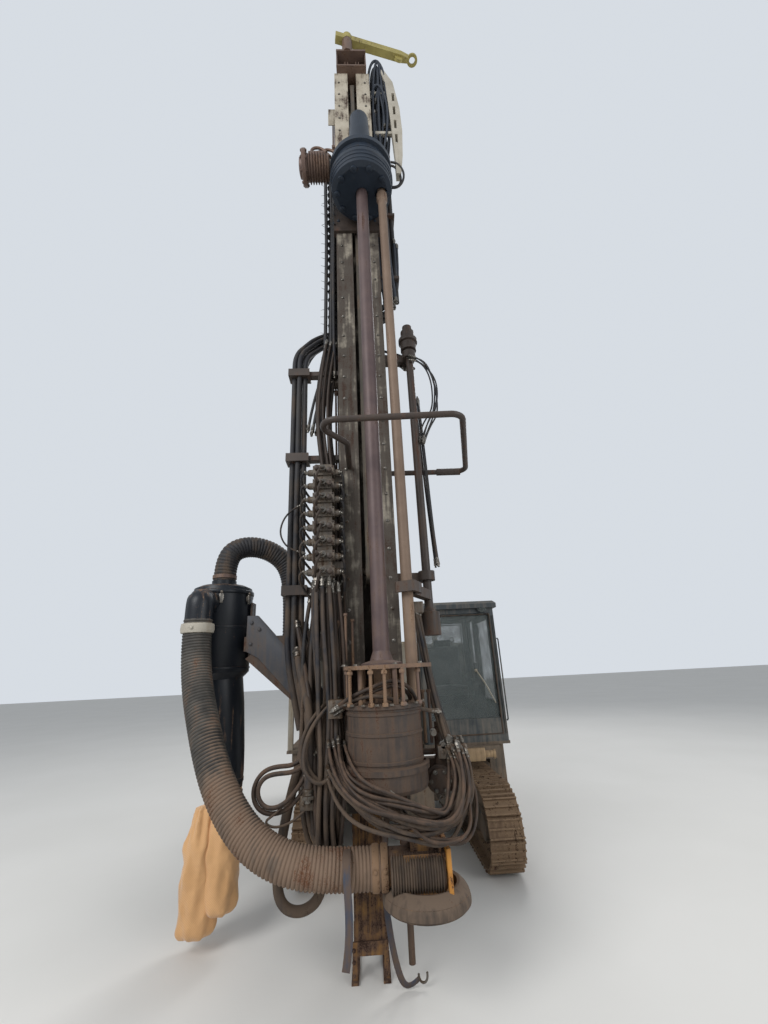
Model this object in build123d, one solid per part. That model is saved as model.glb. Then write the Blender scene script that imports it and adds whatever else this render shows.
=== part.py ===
# Surface drilling rig on crawler tracks, standing parked with its mast upright.
# Millimetres, +Z up, -Y is the working front with the mast, +X is the cab side.
# Every piece is drawn from the foot of the mast; at the end all move by HOME,
# so that the origin lies on the ground under the middle of the machine.

from build123d import *
import math
import os

os.makedirs("parts", exist_ok=True)

# General allowances
GAP = 0.3                    # seat gap between a curved face and what carries it
SLIDE_GAP = 0.5              # gap of a sliding shoe on each side
PIN_FIT = 0.05               # radial clearance of a pin in its bore
SIDE_GAP = 5.0               # side gap between the ears of a pivot

# Crawler tracks
MIDDLE_X = 286.0             # middle plane of the chassis
TRACK_GAUGE = 1844.0         # distance between the centre lines of the tracks
SHOE_WIDTH = 330.0
TRACK_HEIGHT = 750.0
TRACK_FRONT_Y = 915.0
TRACK_LENGTH = 3290.0
SHOE_PITCH = 171.0
SHOE_PLATE = 14.0
SHOE_WEB = 8.0
SHOE_GAP = 11.0              # open gap between two shoes
GROUSER_HEIGHT = 26.0
GROUSER_WIDTH = 15.0
LINK_HEIGHT = 80.0
LINK_WIDTH = 170.0
ROLLER_RADIUS = 88.0
ROLLER_COUNT = 6
CARRIER_RADIUS = 58.0
CARRIER_COUNT = 2
WHEEL_WIDTH = 96.0
BEAM_WIDTH = 190.0
BEAM_BOTTOM = 225.0
BEAM_TOP = 500.0

# Car body with its cross beams and the tower that carries the boom
BODY_HALF_WIDTH = 330.0
BODY_FRONT_Y = 1500.0
BODY_REAR_Y = 3750.0
BODY_BOTTOM = 380.0
BODY_TOP = 820.0
CROSS_BEAM_HEIGHT = 200.0
CROSS_BEAM_DEPTH = 280.0
CROSS_BEAM_Z = 430.0
TOW_Z = 600.0
TOW_HEIGHT = 60.0
TOW_RADIUS = 75.0
TOW_BORE = 30.0
TOWER_PLATE = 30.0
TOWER_FOOT_FRONT = 1570.0
TOWER_FOOT_REAR = 1850.0

# Boom, its pivots and its cylinders (side view: Y, Z)
BOOM_FOOT_Y = 1700.0
BOOM_FOOT_Z = 1200.0
BOOM_FOOT_RADIUS = 150.0
BOOM_TIP_Y = 620.0
BOOM_TIP_Z = 2130.0
BOOM_TIP_RADIUS = 115.0
BOOM_MIDDLE_HALF = 165.0
BOOM_WIDTH = 300.0
PIN_RADIUS = 45.0
LIFT_BASE_Y = 1420.0
LIFT_BASE_Z = 640.0
LIFT_EYE_Y = 1140.0
LIFT_EYE_Z = 1600.0
LIFT_SIDE_X = 232.0
LIFT_BARREL_RADIUS = 58.0
LIFT_BARREL_START = 145.0
LIFT_BARREL_LENGTH = 640.0
LIFT_ROD_RADIUS = 32.0
TILT_BASE_Y = 1540.0
TILT_BASE_Z = 1000.0
TILT_EYE_Y = 600.0
TILT_EYE_Z = 1781.0
TILT_BARREL_RADIUS = 62.0
TILT_BARREL_START = 155.0
TILT_BARREL_LENGTH = 800.0
TILT_ROD_RADIUS = 36.0
EYE_RADIUS = 58.0
EYE_WIDTH = 80.0
EYE_NECK = 38.0              # radius between a cylinder's base eye and its barrel
EAR_PLATE = 22.0
CROSS_PIN = 30.0             # pin through the boom for the eyes of the lift rods
OPEN_EYE_RADIUS = 72.0
OPEN_EYE_GAP = 18.0          # clearance of the eye where the linkage is opened

# Mast (feed beam)
MAST_HALF_WIDTH = 210.0
MAST_FRONT_Y = -150.0
MAST_BACK_Y = 200.0
MAST_WALL = 14.0
MAST_BOTTOM = 950.0
MAST_TOP = 9900.0
MAST_SLOT = 120.0            # open slot of the front wall, where the feed chain runs
MAST_HOLE_RADIUS = 62.0      # openings in the side walls
MAST_HOLE_LOW = 1750.0
MAST_HOLE_STEP = 560.0
MAST_HOLE_COUNT = 15
RAIL_OUT = 34.0
RAIL_DEPTH = 30.0
BRACKET_PLATE = 30.0
BRACKET_LOW = 1480.0
BRACKET_HIGH = 2850.0
BRACKET_HUB = 125.0

# Foot of the mast
FOOT_X = -80.0
FOOT_HALF_WIDTH = 108.0
FOOT_FRONT_Y = -118.0
FOOT_BACK_Y = 118.0
FOOT_TOP = 1850.0
FOOT_FRAME_HEIGHT = 210.0

# Drilling axis, guide column, table and drum
COLUMN_X = 64.0
AXIS_Y = -550.0
COLUMN_RADIUS = 62.0
COLUMN_TOP = 8050.0
COLUMN_BORE_GAP = 6.0
ROD_X = 281.0
ROD_RADIUS = 44.0
ROD_BOTTOM = 1620.0
ROD_HOLE = 60.0
TABLE_Z = 1930.0
TABLE_PLATE = 26.0
DRUM_RADIUS = 254.0
DRUM_TOP = 1706.0
DRUM_FLOOR = 1350.0
DRUM_RING_RADIUS = 292.0
DRUM_BOTTOM = 1200.0

# Rotary head
HEAD_BOTTOM = 6830.0
BELL_RADIUS = 348.0
BELL_TOP = 7255.0
NECK_TOP = 8160.0
CARRIAGE_BOTTOM = 6760.0
CARRIAGE_TOP = 8060.0
CARRIAGE_HALF_WIDTH = 262.0
CARRIAGE_PLATE = 34.0
MOTOR_X = -440.0
MOTOR_Z = 7260.0

# Rod handler at the right of the mast
POLE_X = 501.0
POLE_Y = -100.0
POLE_RADIUS = 38.0
POLE_BOTTOM = 2170.0
POLE_TOP = 5400.0
JAW_Z = 2460.0
JAW_HEIGHT = 80.0
JAW_ARM = 70.0               # width of the arm that carries the jaw
JAW_GAP = 18.0               # clearance between the jaw and the rod
JAW_FINGER = 32.0
JAW_REACH = 50.0             # how far the fingers pass the rod's axis

# Suction hood and cyclone
HOOD_TOP = 975.0
HOOD_BOTTOM = 640.0
HOOD_HALF = 138.0
SKIRT_RADIUS = 254.0
SKIRT_BOTTOM = 505.0
HOSE_RADIUS = 115.0
CYCLONE_X = -1390.0
CYCLONE_Y = 340.0
CYCLONE_RADIUS = 280.0
CYCLONE_TOP = 2700.0
CYCLONE_WAIST = 1900.0
CYCLONE_LOW_RADIUS = 200.0
CYCLONE_LOW = 1300.0
NECK_RADIUS = 120.0
NECK_BOTTOM = 1070.0
DUCT_RADIUS = 100.0

# Guard hoop
HOOP_Z = 3720.0
HOOP_RADIUS = 25.0

# Deck, cab, engine house and dust collector
DECK_BOTTOM = 1010.0
DECK_TOP = 1040.0
DECK_FRONT_Y = 1880.0
DECK_REAR_Y = 4850.0
DECK_LEFT_X = -1048.0
CAB_LEFT_X = 610.0
CAB_RIGHT_X = 1620.0
CAB_FRONT_Y = 1880.0
CAB_REAR_Y = 3420.0
CAB_TOP = 2690.0
CAB_WALL = 50.0
CAB_ROOF = 90.0
GLASS = 6.0
HOUSE_CAB_GAP = 140.0        # between the cab's rear wall and the wide part of the engine house
HOUSE_TOP = 2250.0
HOUSE_WALL = 8.0
COLLECTOR_TOP = 2450.0


def block(x0, x1, y0, y1, z0, z1):
    """Box between two corners."""
    size = (x1 - x0, y1 - y0, z1 - z0)
    middle = ((x0 + x1) / 2, (y0 + y1) / 2, (z0 + z1) / 2)
    return Pos(*middle) * Box(*size)


def upright(x, y, z0, z1, radius):
    """Vertical cylinder."""
    return Pos(x, y, (z0 + z1) / 2) * Cylinder(radius, z1 - z0)


def bar(start, end, radius):
    """Round bar between two points."""
    axis = Vector(*end) - Vector(*start)
    return Solid.make_cylinder(radius, axis.length, Plane(origin=start, z_dir=axis))


def across(y, z, x0, x1, radius):
    """Round bar along X."""
    return bar((x0, y, z), (x1, y, z), radius)


def side_plate(points, x0, x1):
    """Plate with its outline in the side view (Y, Z), from x0 to x1."""
    outline = make_face(Polyline(*[(y, z) for y, z in points], close=True))
    return extrude(Plane(origin=(x0, 0, 0), x_dir=(0, 1, 0), z_dir=(1, 0, 0)) * outline, x1 - x0)


def plan_plate(points, z0, z1):
    """Plate with its outline in plan (X, Y), from z0 to z1."""
    outline = make_face(Polyline(*points, close=True))
    return extrude(Pos(0, 0, z0) * outline, z1 - z0)


def front_plate(points, y0, y1):
    """Plate with its outline in the front view (X, Z), from y0 to y1."""
    outline = make_face(Polyline(*points, close=True))
    return extrude(Plane(origin=(0, y1, 0), x_dir=(1, 0, 0), z_dir=(0, -1, 0)) * outline, y1 - y0)


def turned(x, y, profile):
    """Turned piece about a vertical axis at (x, y), from its (radius, z) profile."""
    outline = make_face(Plane.XZ * Polyline(*profile, close=True))
    return Pos(x, y, 0) * revolve(outline, Axis.Z)


def piped(points, radii, radius, bore=0.0):
    """Tube of straight runs joined by tangent arcs, one radius for each corner."""
    path = FilletPolyline(*points, radius=radii)
    start = Plane(origin=path @ 0, z_dir=path % 0)
    section = start * Circle(radius)
    if bore > 0:
        section = section - start * Circle(bore)
    return sweep(section, path)


def bend_radii(points, share=0.45):
    """Arc radius of each corner: a share of the shorter run over the tangent of half the turn."""
    radii = []
    for before, corner, after in zip(points, points[1:], points[2:]):
        run_in = Vector(*corner) - Vector(*before)
        run_out = Vector(*after) - Vector(*corner)
        half_turn = math.radians(run_in.get_angle(run_out)) / 2
        radii.append(share * min(run_in.length, run_out.length) / math.tan(half_turn))
    return radii


def joined(pieces):
    """One solid from overlapping or touching pieces."""
    whole = pieces[0]
    for piece in pieces[1:]:
        whole = whole + piece
    return whole


def separate(pieces):
    """Several solids of one node that do not touch."""
    solids = []
    for piece in pieces:
        solids.extend(piece.solids())
    return Compound(solids)


# Tracks: shoes with three grousers each on a closed loop of links
TRACK_X = (MIDDLE_X - TRACK_GAUGE / 2, MIDDLE_X + TRACK_GAUGE / 2)
PITCH_RADIUS = TRACK_HEIGHT / 2 - SHOE_PLATE - GROUSER_HEIGHT
WHEEL_FRONT_Y = TRACK_FRONT_Y + TRACK_HEIGHT / 2
WHEEL_REAR_Y = TRACK_FRONT_Y + TRACK_LENGTH - TRACK_HEIGHT / 2
WHEEL_Z = TRACK_HEIGHT / 2
WHEEL_SPAN = WHEEL_REAR_Y - WHEEL_FRONT_Y
LOOP_LENGTH = 2 * WHEEL_SPAN + 2 * math.pi * PITCH_RADIUS
SHOE_COUNT = round(LOOP_LENGTH / SHOE_PITCH)
SHOE_STEP = LOOP_LENGTH / SHOE_COUNT


def loop_frame(distance):
    """Point and outward angle on the pitch line, starting on the ground under the front wheel."""
    half_turn = math.pi * PITCH_RADIUS
    if distance < WHEEL_SPAN:
        return WHEEL_FRONT_Y + distance, WHEEL_Z - PITCH_RADIUS, -math.pi / 2
    distance = distance - WHEEL_SPAN
    if distance < half_turn:
        angle = -math.pi / 2 + distance / PITCH_RADIUS
        return (WHEEL_REAR_Y + PITCH_RADIUS * math.cos(angle),
                WHEEL_Z + PITCH_RADIUS * math.sin(angle), angle)
    distance = distance - half_turn
    if distance < WHEEL_SPAN:
        return WHEEL_REAR_Y - distance, WHEEL_Z + PITCH_RADIUS, math.pi / 2
    angle = math.pi / 2 + (distance - WHEEL_SPAN) / PITCH_RADIUS
    return (WHEEL_FRONT_Y + PITCH_RADIUS * math.cos(angle),
            WHEEL_Z + PITCH_RADIUS * math.sin(angle), angle)


def shoe_outline():
    """Outline of one shoe from its rear edge to its front edge: along the track, outwards."""
    half = (SHOE_STEP - SHOE_GAP) / 2
    tip = SHOE_PLATE + GROUSER_HEIGHT
    points = [(-half, 0.0)]
    for middle in (-half + GROUSER_WIDTH / 2, 0.0, half - GROUSER_WIDTH / 2):
        if middle > -half + GROUSER_WIDTH:
            points.append((middle - GROUSER_WIDTH / 2, SHOE_PLATE))
        points.append((middle - GROUSER_WIDTH / 2, tip))
        points.append((middle + GROUSER_WIDTH / 2, tip))
        if middle < half - GROUSER_WIDTH:
            points.append((middle + GROUSER_WIDTH / 2, SHOE_PLATE))
    points.append((half, 0.0))
    return points


def stadium(radius):
    """Loop outline of the given radius round both wheels, in the side view."""
    span = make_face(Polyline(
        (WHEEL_FRONT_Y, WHEEL_Z - radius),
        (WHEEL_REAR_Y, WHEEL_Z - radius),
        (WHEEL_REAR_Y, WHEEL_Z + radius),
        (WHEEL_FRONT_Y, WHEEL_Z + radius),
        close=True,
    ))
    ends = Pos(WHEEL_FRONT_Y, WHEEL_Z) * Circle(radius) + Pos(WHEEL_REAR_Y, WHEEL_Z) * Circle(radius)
    return span + ends


def side_extrude(face, x, width):
    """Side-view face extruded equally to both sides of x."""
    plane = Plane(origin=(x - width / 2, 0, 0), x_dir=(0, 1, 0), z_dir=(1, 0, 0))
    return extrude(plane * face, width)


def track(x):
    outline = []
    for index in range(SHOE_COUNT):
        y0, z0, start = loop_frame(index * SHOE_STEP)
        y1, z1, end = loop_frame((index + 1) * SHOE_STEP)
        y, z = (y0 + y1) / 2, (z0 + z1) / 2
        angle = math.atan2(z1 - z0, y1 - y0) - math.pi / 2
        for along, out in shoe_outline():
            outline.append((y + out * math.cos(angle) - along * math.sin(angle),
                            z + out * math.sin(angle) + along * math.cos(angle)))
    shoes = make_face(Polyline(*outline, close=True)) - stadium(PITCH_RADIUS - SHOE_WEB)
    links = stadium(PITCH_RADIUS - SHOE_WEB / 2) - stadium(PITCH_RADIUS - LINK_HEIGHT)
    return side_extrude(shoes, x, SHOE_WIDTH) + side_extrude(links, x, LINK_WIDTH)


nodes = {}
nodes["tracks"] = separate([track(x) for x in TRACK_X])


# Track frames: beam, idler, drive wheel, rollers below and carrier rollers above
def track_frame(x):
    wheel_radius = PITCH_RADIUS - LINK_HEIGHT - GAP
    half = WHEEL_WIDTH / 2
    run_z = WHEEL_Z - PITCH_RADIUS + LINK_HEIGHT
    top_z = WHEEL_Z + PITCH_RADIUS - LINK_HEIGHT
    beam = side_plate([
        (WHEEL_FRONT_Y - 60, 300.0),
        (WHEEL_FRONT_Y + 260, BEAM_BOTTOM),
        (WHEEL_REAR_Y - 260, BEAM_BOTTOM),
        (WHEEL_REAR_Y + 60, 300.0),
        (WHEEL_REAR_Y + 60, 450.0),
        (WHEEL_REAR_Y - 300, BEAM_TOP),
        (WHEEL_FRONT_Y + 300, BEAM_TOP),
        (WHEEL_FRONT_Y - 60, 450.0),
    ], x - BEAM_WIDTH / 2, x + BEAM_WIDTH / 2)
    pieces = [beam]
    for wheel_y, hub in ((WHEEL_FRONT_Y, 0.45), (WHEEL_REAR_Y, 0.6)):
        pieces.append(across(wheel_y, WHEEL_Z, x - half, x + half, wheel_radius))
        pieces.append(across(wheel_y, WHEEL_Z, x - SHOE_WIDTH / 2 + 20, x + SHOE_WIDTH / 2 - 20,
                             wheel_radius * hub))
    step = (WHEEL_REAR_Y - WHEEL_FRONT_Y - 760) / (ROLLER_COUNT - 1)
    for index in range(ROLLER_COUNT):
        y = WHEEL_FRONT_Y + 380 + step * index
        pieces.append(across(y, run_z + GAP + ROLLER_RADIUS, x - half, x + half, ROLLER_RADIUS))
    for index in range(CARRIER_COUNT):
        y = WHEEL_FRONT_Y + WHEEL_SPAN * (index + 1) / (CARRIER_COUNT + 1)
        z = top_z - GAP - CARRIER_RADIUS
        pieces.append(across(y, z, x - half, x + half, CARRIER_RADIUS))
        pieces.append(block(x - 25, x + 25, y - 30, y + 30, BEAM_TOP - 10, z))
    return joined(pieces)


nodes["track_frames"] = separate([track_frame(x) for x in TRACK_X])


# Car body: centre box, two cross beams to the track frames and the rails under the deck
def car_body():
    left = MIDDLE_X - TRACK_GAUGE / 2 + BEAM_WIDTH / 2
    right = MIDDLE_X + TRACK_GAUGE / 2 - BEAM_WIDTH / 2
    centre = side_plate([
        (BODY_FRONT_Y, BODY_BOTTOM + 120),
        (BODY_FRONT_Y + 160, BODY_BOTTOM),
        (BODY_REAR_Y - 160, BODY_BOTTOM),
        (BODY_REAR_Y, BODY_BOTTOM + 120),
        (BODY_REAR_Y, BODY_TOP),
        (BODY_FRONT_Y, BODY_TOP),
    ], MIDDLE_X - BODY_HALF_WIDTH, MIDDLE_X + BODY_HALF_WIDTH)
    nose = block(-LIFT_SIDE_X - 110, MIDDLE_X, BODY_FRONT_Y, TOWER_FOOT_REAR, BODY_BOTTOM + 120, BODY_TOP)
    pieces = [centre, nose]
    for y in (2050.0, 3250.0):
        pieces.append(block(left, right, y, y + CROSS_BEAM_DEPTH,
                            CROSS_BEAM_Z, CROSS_BEAM_Z + CROSS_BEAM_HEIGHT))
    for x in (MIDDLE_X - 280, MIDDLE_X + 200):
        pieces.append(block(x, x + 80, DECK_FRONT_Y + 60, DECK_REAR_Y - 100, BODY_TOP, DECK_BOTTOM))
    for y in (DECK_FRONT_Y + 160, 3000.0, DECK_REAR_Y - 260):
        pieces.append(block(DECK_LEFT_X + 60, CAB_RIGHT_X - 60, y, y + 90, DECK_BOTTOM - 90, DECK_BOTTOM))
    eye = BODY_REAR_Y + 90
    lug = block(MIDDLE_X - TOW_RADIUS, MIDDLE_X + TOW_RADIUS, BODY_REAR_Y - 5, eye, TOW_Z, TOW_Z + TOW_HEIGHT)
    lug = lug + upright(MIDDLE_X, eye, TOW_Z, TOW_Z + TOW_HEIGHT, TOW_RADIUS)
    pieces.append(lug - upright(MIDDLE_X, eye, TOW_Z - 5, TOW_Z + TOW_HEIGHT + 5, TOW_BORE))
    return joined(pieces)


# Tower: two plates with the pin of the boom's foot
def boom_tower():
    inner = BOOM_WIDTH / 2 + SIDE_GAP + 3
    pieces = []
    for x in (-inner - TOWER_PLATE, inner):
        plate = side_plate([
            (TOWER_FOOT_FRONT, BODY_TOP),
            (TOWER_FOOT_REAR, BODY_TOP),
            (BOOM_FOOT_Y + BOOM_FOOT_RADIUS * 0.9, BOOM_FOOT_Z),
            (BOOM_FOOT_Y - BOOM_FOOT_RADIUS * 0.9, BOOM_FOOT_Z),
        ], x, x + TOWER_PLATE)
        pieces.append(plate + across(BOOM_FOOT_Y, BOOM_FOOT_Z, x, x + TOWER_PLATE, BOOM_FOOT_RADIUS))
    reach = inner + TOWER_PLATE + 15
    pieces.append(across(BOOM_FOOT_Y, BOOM_FOOT_Z, -reach, reach, PIN_RADIUS))
    return joined(pieces)


def lift_ears(side):
    """Two ears with the base pin of one lift cylinder."""
    ear = EYE_WIDTH / 2 + SIDE_GAP
    pieces = []
    for inner in (-ear - EAR_PLATE, ear):
        x = side * LIFT_SIDE_X + inner
        plate = side_plate([
            (BODY_FRONT_Y, LIFT_BASE_Z - 110),
            (BODY_FRONT_Y, LIFT_BASE_Z + 110),
            (LIFT_BASE_Y, LIFT_BASE_Z + EYE_RADIUS),
            (LIFT_BASE_Y, LIFT_BASE_Z - EYE_RADIUS),
        ], x, x + EAR_PLATE)
        pieces.append(plate + across(LIFT_BASE_Y, LIFT_BASE_Z, x, x + EAR_PLATE, EYE_RADIUS))
    reach = ear + EAR_PLATE + 12
    pieces.append(across(LIFT_BASE_Y, LIFT_BASE_Z, side * LIFT_SIDE_X - reach,
                         side * LIFT_SIDE_X + reach, PIN_RADIUS * 0.7))
    return joined(pieces)


nodes["car_body"] = car_body()
nodes["boom_tower"] = separate([boom_tower(), lift_ears(-1), lift_ears(1)])


# Boom: welded box between its two pivots, with the cross pin of the lift cylinders
def boom():
    foot = Vector(BOOM_FOOT_Y, BOOM_FOOT_Z)
    tip = Vector(BOOM_TIP_Y, BOOM_TIP_Z)
    along = (tip - foot).normalized()
    up = Vector(-along.Y, along.X)
    length = (tip - foot).length
    stations = (
        # share of the length, half height
        (0.0, BOOM_FOOT_RADIUS),
        (0.45, BOOM_MIDDLE_HALF),
        (1.0, BOOM_TIP_RADIUS),
    )
    upper = [foot + along * (length * share) + up * half for share, half in stations]
    lower = [foot + along * (length * share) - up * half for share, half in reversed(stations)]
    half = BOOM_WIDTH / 2
    body = side_plate([(p.X, p.Y) for p in upper + lower], -half, half)
    body = body + across(BOOM_FOOT_Y, BOOM_FOOT_Z, -half, half, BOOM_FOOT_RADIUS)
    body = body + across(BOOM_TIP_Y, BOOM_TIP_Z, -half, half, BOOM_TIP_RADIUS)
    ear = EYE_WIDTH / 2 + SIDE_GAP
    for x in (-ear - EAR_PLATE, ear):
        plate = side_plate([
            (TILT_BASE_Y - EYE_RADIUS, TILT_BASE_Z),
            (TILT_BASE_Y + EYE_RADIUS, TILT_BASE_Z),
            (BOOM_FOOT_Y - 20, BOOM_FOOT_Z - 60),
            (BOOM_FOOT_Y - 220, BOOM_FOOT_Z + 120),
        ], x, x + EAR_PLATE)
        body = body + plate + across(TILT_BASE_Y, TILT_BASE_Z, x, x + EAR_PLATE, EYE_RADIUS)
    body = body + across(TILT_BASE_Y, TILT_BASE_Z, -ear - EAR_PLATE, ear + EAR_PLATE, PIN_RADIUS * 0.7)
    reach = LIFT_SIDE_X + EYE_WIDTH / 2 + 10
    body = body + across(LIFT_EYE_Y, LIFT_EYE_Z, -reach, reach, CROSS_PIN)
    body = body - across(BOOM_FOOT_Y, BOOM_FOOT_Z, -half - 1, half + 1, PIN_RADIUS + PIN_FIT)
    reach = half + SIDE_GAP + 3 + BRACKET_PLATE + 15
    return body + across(BOOM_TIP_Y, BOOM_TIP_Z, -reach, reach, PIN_RADIUS)


nodes["boom"] = boom()


def cylinder_barrel(x, base, head, start, length, radius, pin):
    """Cylinder barrel with its base eye on a pin, pointing at the rod's eye."""
    foot = Vector(x, *base)
    direction = (Vector(x, *head) - foot).normalized()
    tube = bar(tuple(foot + direction * start), tuple(foot + direction * length), radius)
    tube = tube + bar(tuple(foot + direction * (pin + 8)), tuple(foot + direction * (start + 5)), EYE_NECK)
    gland = bar(tuple(foot + direction * (length - 50)), tuple(foot + direction * length), radius + 8)
    eye = across(base[0], base[1], x - EYE_WIDTH / 2, x + EYE_WIDTH / 2, EYE_RADIUS)
    hole = across(base[0], base[1], x - EYE_WIDTH, x + EYE_WIDTH, pin + PIN_FIT)
    return tube + gland + eye - hole


def cylinder_bore(x, base, head, start, length, radius):
    """Bore of the barrel, open at the gland."""
    foot = Vector(x, *base)
    direction = (Vector(x, *head) - foot).normalized()
    return bar(tuple(foot + direction * (start + 10)), tuple(foot + direction * (length + 5)),
               radius + PIN_FIT)


def cylinder_rod(x, base, head, inside, radius, eye_radius, eye_hole):
    """Piston rod with its eye, reaching back into the barrel."""
    foot = Vector(x, *base)
    end = Vector(x, *head)
    direction = (end - foot).normalized()
    rod = bar(tuple(end - direction * inside), tuple(end - direction * (eye_radius * 0.7)), radius)
    eye = across(head[0], head[1], x - EYE_WIDTH / 2, x + EYE_WIDTH / 2, eye_radius)
    if eye_hole > 0:
        eye = eye - across(head[0], head[1], x - EYE_WIDTH, x + EYE_WIDTH, eye_hole)
        rod = rod - across(head[0], head[1], x - EYE_WIDTH, x + EYE_WIDTH, eye_hole)
    return rod + eye


LIFT_BASE = (LIFT_BASE_Y, LIFT_BASE_Z)
LIFT_EYE = (LIFT_EYE_Y, LIFT_EYE_Z)
LIFT_SPAN = math.dist(LIFT_BASE, LIFT_EYE)
TILT_BASE = (TILT_BASE_Y, TILT_BASE_Z)
TILT_EYE = (TILT_EYE_Y, TILT_EYE_Z)
TILT_SPAN = math.dist(TILT_BASE, TILT_EYE)
SMALL_PIN = PIN_RADIUS * 0.7
LIFT_INSIDE = LIFT_SPAN - LIFT_BARREL_START - 120
TILT_INSIDE = TILT_SPAN - TILT_BARREL_START - 115

nodes["lift_barrels"] = separate([
    cylinder_barrel(x, LIFT_BASE, LIFT_EYE, LIFT_BARREL_START, LIFT_BARREL_LENGTH, LIFT_BARREL_RADIUS, SMALL_PIN)
    - cylinder_bore(x, LIFT_BASE, LIFT_EYE, LIFT_BARREL_START, LIFT_BARREL_LENGTH, LIFT_ROD_RADIUS)
    for x in (-LIFT_SIDE_X, LIFT_SIDE_X)
])
nodes["lift_rods"] = separate([
    cylinder_rod(x, LIFT_BASE, LIFT_EYE, LIFT_INSIDE, LIFT_ROD_RADIUS, OPEN_EYE_RADIUS,
                 CROSS_PIN + OPEN_EYE_GAP)
    for x in (-LIFT_SIDE_X, LIFT_SIDE_X)
])
nodes["tilt_barrel"] = (
    cylinder_barrel(0, TILT_BASE, TILT_EYE, TILT_BARREL_START, TILT_BARREL_LENGTH, TILT_BARREL_RADIUS, SMALL_PIN)
    - cylinder_bore(0, TILT_BASE, TILT_EYE, TILT_BARREL_START, TILT_BARREL_LENGTH, TILT_ROD_RADIUS)
)
nodes["tilt_rod"] = cylinder_rod(0, TILT_BASE, TILT_EYE, TILT_INSIDE, TILT_ROD_RADIUS, EYE_RADIUS, 0)


# Mast: hollow beam with a slotted front wall and two rails
def mast_section():
    outer = [
        (-MAST_HALF_WIDTH - RAIL_OUT, MAST_FRONT_Y),
        (MAST_HALF_WIDTH + RAIL_OUT, MAST_FRONT_Y),
        (MAST_HALF_WIDTH + RAIL_OUT, MAST_FRONT_Y + RAIL_DEPTH),
        (MAST_HALF_WIDTH, MAST_FRONT_Y + RAIL_DEPTH),
        (MAST_HALF_WIDTH, MAST_BACK_Y),
        (-MAST_HALF_WIDTH, MAST_BACK_Y),
        (-MAST_HALF_WIDTH, MAST_FRONT_Y + RAIL_DEPTH),
        (-MAST_HALF_WIDTH - RAIL_OUT, MAST_FRONT_Y + RAIL_DEPTH),
    ]
    inside = MAST_HALF_WIDTH - MAST_WALL
    hollow = [
        (-inside, MAST_FRONT_Y + MAST_WALL),
        (inside, MAST_FRONT_Y + MAST_WALL),
        (inside, MAST_BACK_Y - MAST_WALL),
        (-inside, MAST_BACK_Y - MAST_WALL),
    ]
    slot = Pos(0, MAST_FRONT_Y) * Rectangle(MAST_SLOT, 2 * MAST_WALL + 4)
    return make_face(Polyline(*outer, close=True)) - make_face(Polyline(*hollow, close=True)) - slot


def foot_guides():
    """Guide frames of the foot inside the mast."""
    inside_x = MAST_HALF_WIDTH - MAST_WALL
    front = MAST_FRONT_Y + MAST_WALL
    back = MAST_BACK_Y - MAST_WALL
    left = FOOT_X - FOOT_HALF_WIDTH - SLIDE_GAP
    right = FOOT_X + FOOT_HALF_WIDTH + SLIDE_GAP
    pieces = []
    for z in (MAST_BOTTOM + 20, MAST_BOTTOM + 520):
        ring = block(-inside_x, inside_x, front, back, z, z + 90)
        pieces.append(ring - block(left, right, FOOT_FRONT_Y - SLIDE_GAP, FOOT_BACK_Y + SLIDE_GAP,
                                   z - 5, z + 95))
    return pieces


def mast():
    beam = extrude(Pos(0, 0, MAST_BOTTOM) * mast_section(), MAST_TOP - MAST_BOTTOM)
    for index in range(MAST_HOLE_COUNT):
        z = MAST_HOLE_LOW + index * MAST_HOLE_STEP
        beam = beam - across(30, z, -MAST_HALF_WIDTH - 10, MAST_HALF_WIDTH + 10, MAST_HOLE_RADIUS)
    return joined([beam] + foot_guides())


nodes["mast"] = mast()


# Bracket behind the mast with the tilt pivot and the ears of the tilt cylinder
def mast_bracket():
    inner = BOOM_WIDTH / 2 + SIDE_GAP + 3
    pieces = [block(-inner - BRACKET_PLATE, inner + BRACKET_PLATE, MAST_BACK_Y, MAST_BACK_Y + 40,
                    BRACKET_LOW, BRACKET_HIGH)]
    for x in (-inner - BRACKET_PLATE, inner):
        plate = side_plate([
            (MAST_BACK_Y + 20, BRACKET_LOW),
            (MAST_BACK_Y + 20, BRACKET_HIGH),
            (BOOM_TIP_Y + 20, BOOM_TIP_Z + BRACKET_HUB - 8),
            (BOOM_TIP_Y - 40, BOOM_TIP_Z - BRACKET_HUB + 8),
        ], x, x + BRACKET_PLATE)
        plate = plate + across(BOOM_TIP_Y, BOOM_TIP_Z, x, x + BRACKET_PLATE, BRACKET_HUB)
        pieces.append(plate - across(BOOM_TIP_Y, BOOM_TIP_Z, x - 5, x + BRACKET_PLATE + 5,
                                     PIN_RADIUS + PIN_FIT))
    ear = EYE_WIDTH / 2 + SIDE_GAP
    for x in (-ear - EAR_PLATE, ear):
        plate = side_plate([
            (MAST_BACK_Y + 20, TILT_EYE_Z - 260),
            (MAST_BACK_Y + 20, TILT_EYE_Z + 200),
            (TILT_EYE_Y, TILT_EYE_Z + EYE_RADIUS),
            (TILT_EYE_Y, TILT_EYE_Z - EYE_RADIUS),
        ], x, x + EAR_PLATE)
        pieces.append(plate + across(TILT_EYE_Y, TILT_EYE_Z, x, x + EAR_PLATE, EYE_RADIUS))
    return joined(pieces)


nodes["mast_bracket"] = mast_bracket()


# Mast head: cheek plates with two sheaves and the post of the jib
HEAD_CHEEK = 16.0
SHEAVE_RADIUS = 175.0
SHEAVE_Z = MAST_TOP + 190
JIB_X = -50.0
JIB_Y = -200.0
JIB_POST = 55.0
JIB_BOTTOM = MAST_TOP + 640


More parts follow.
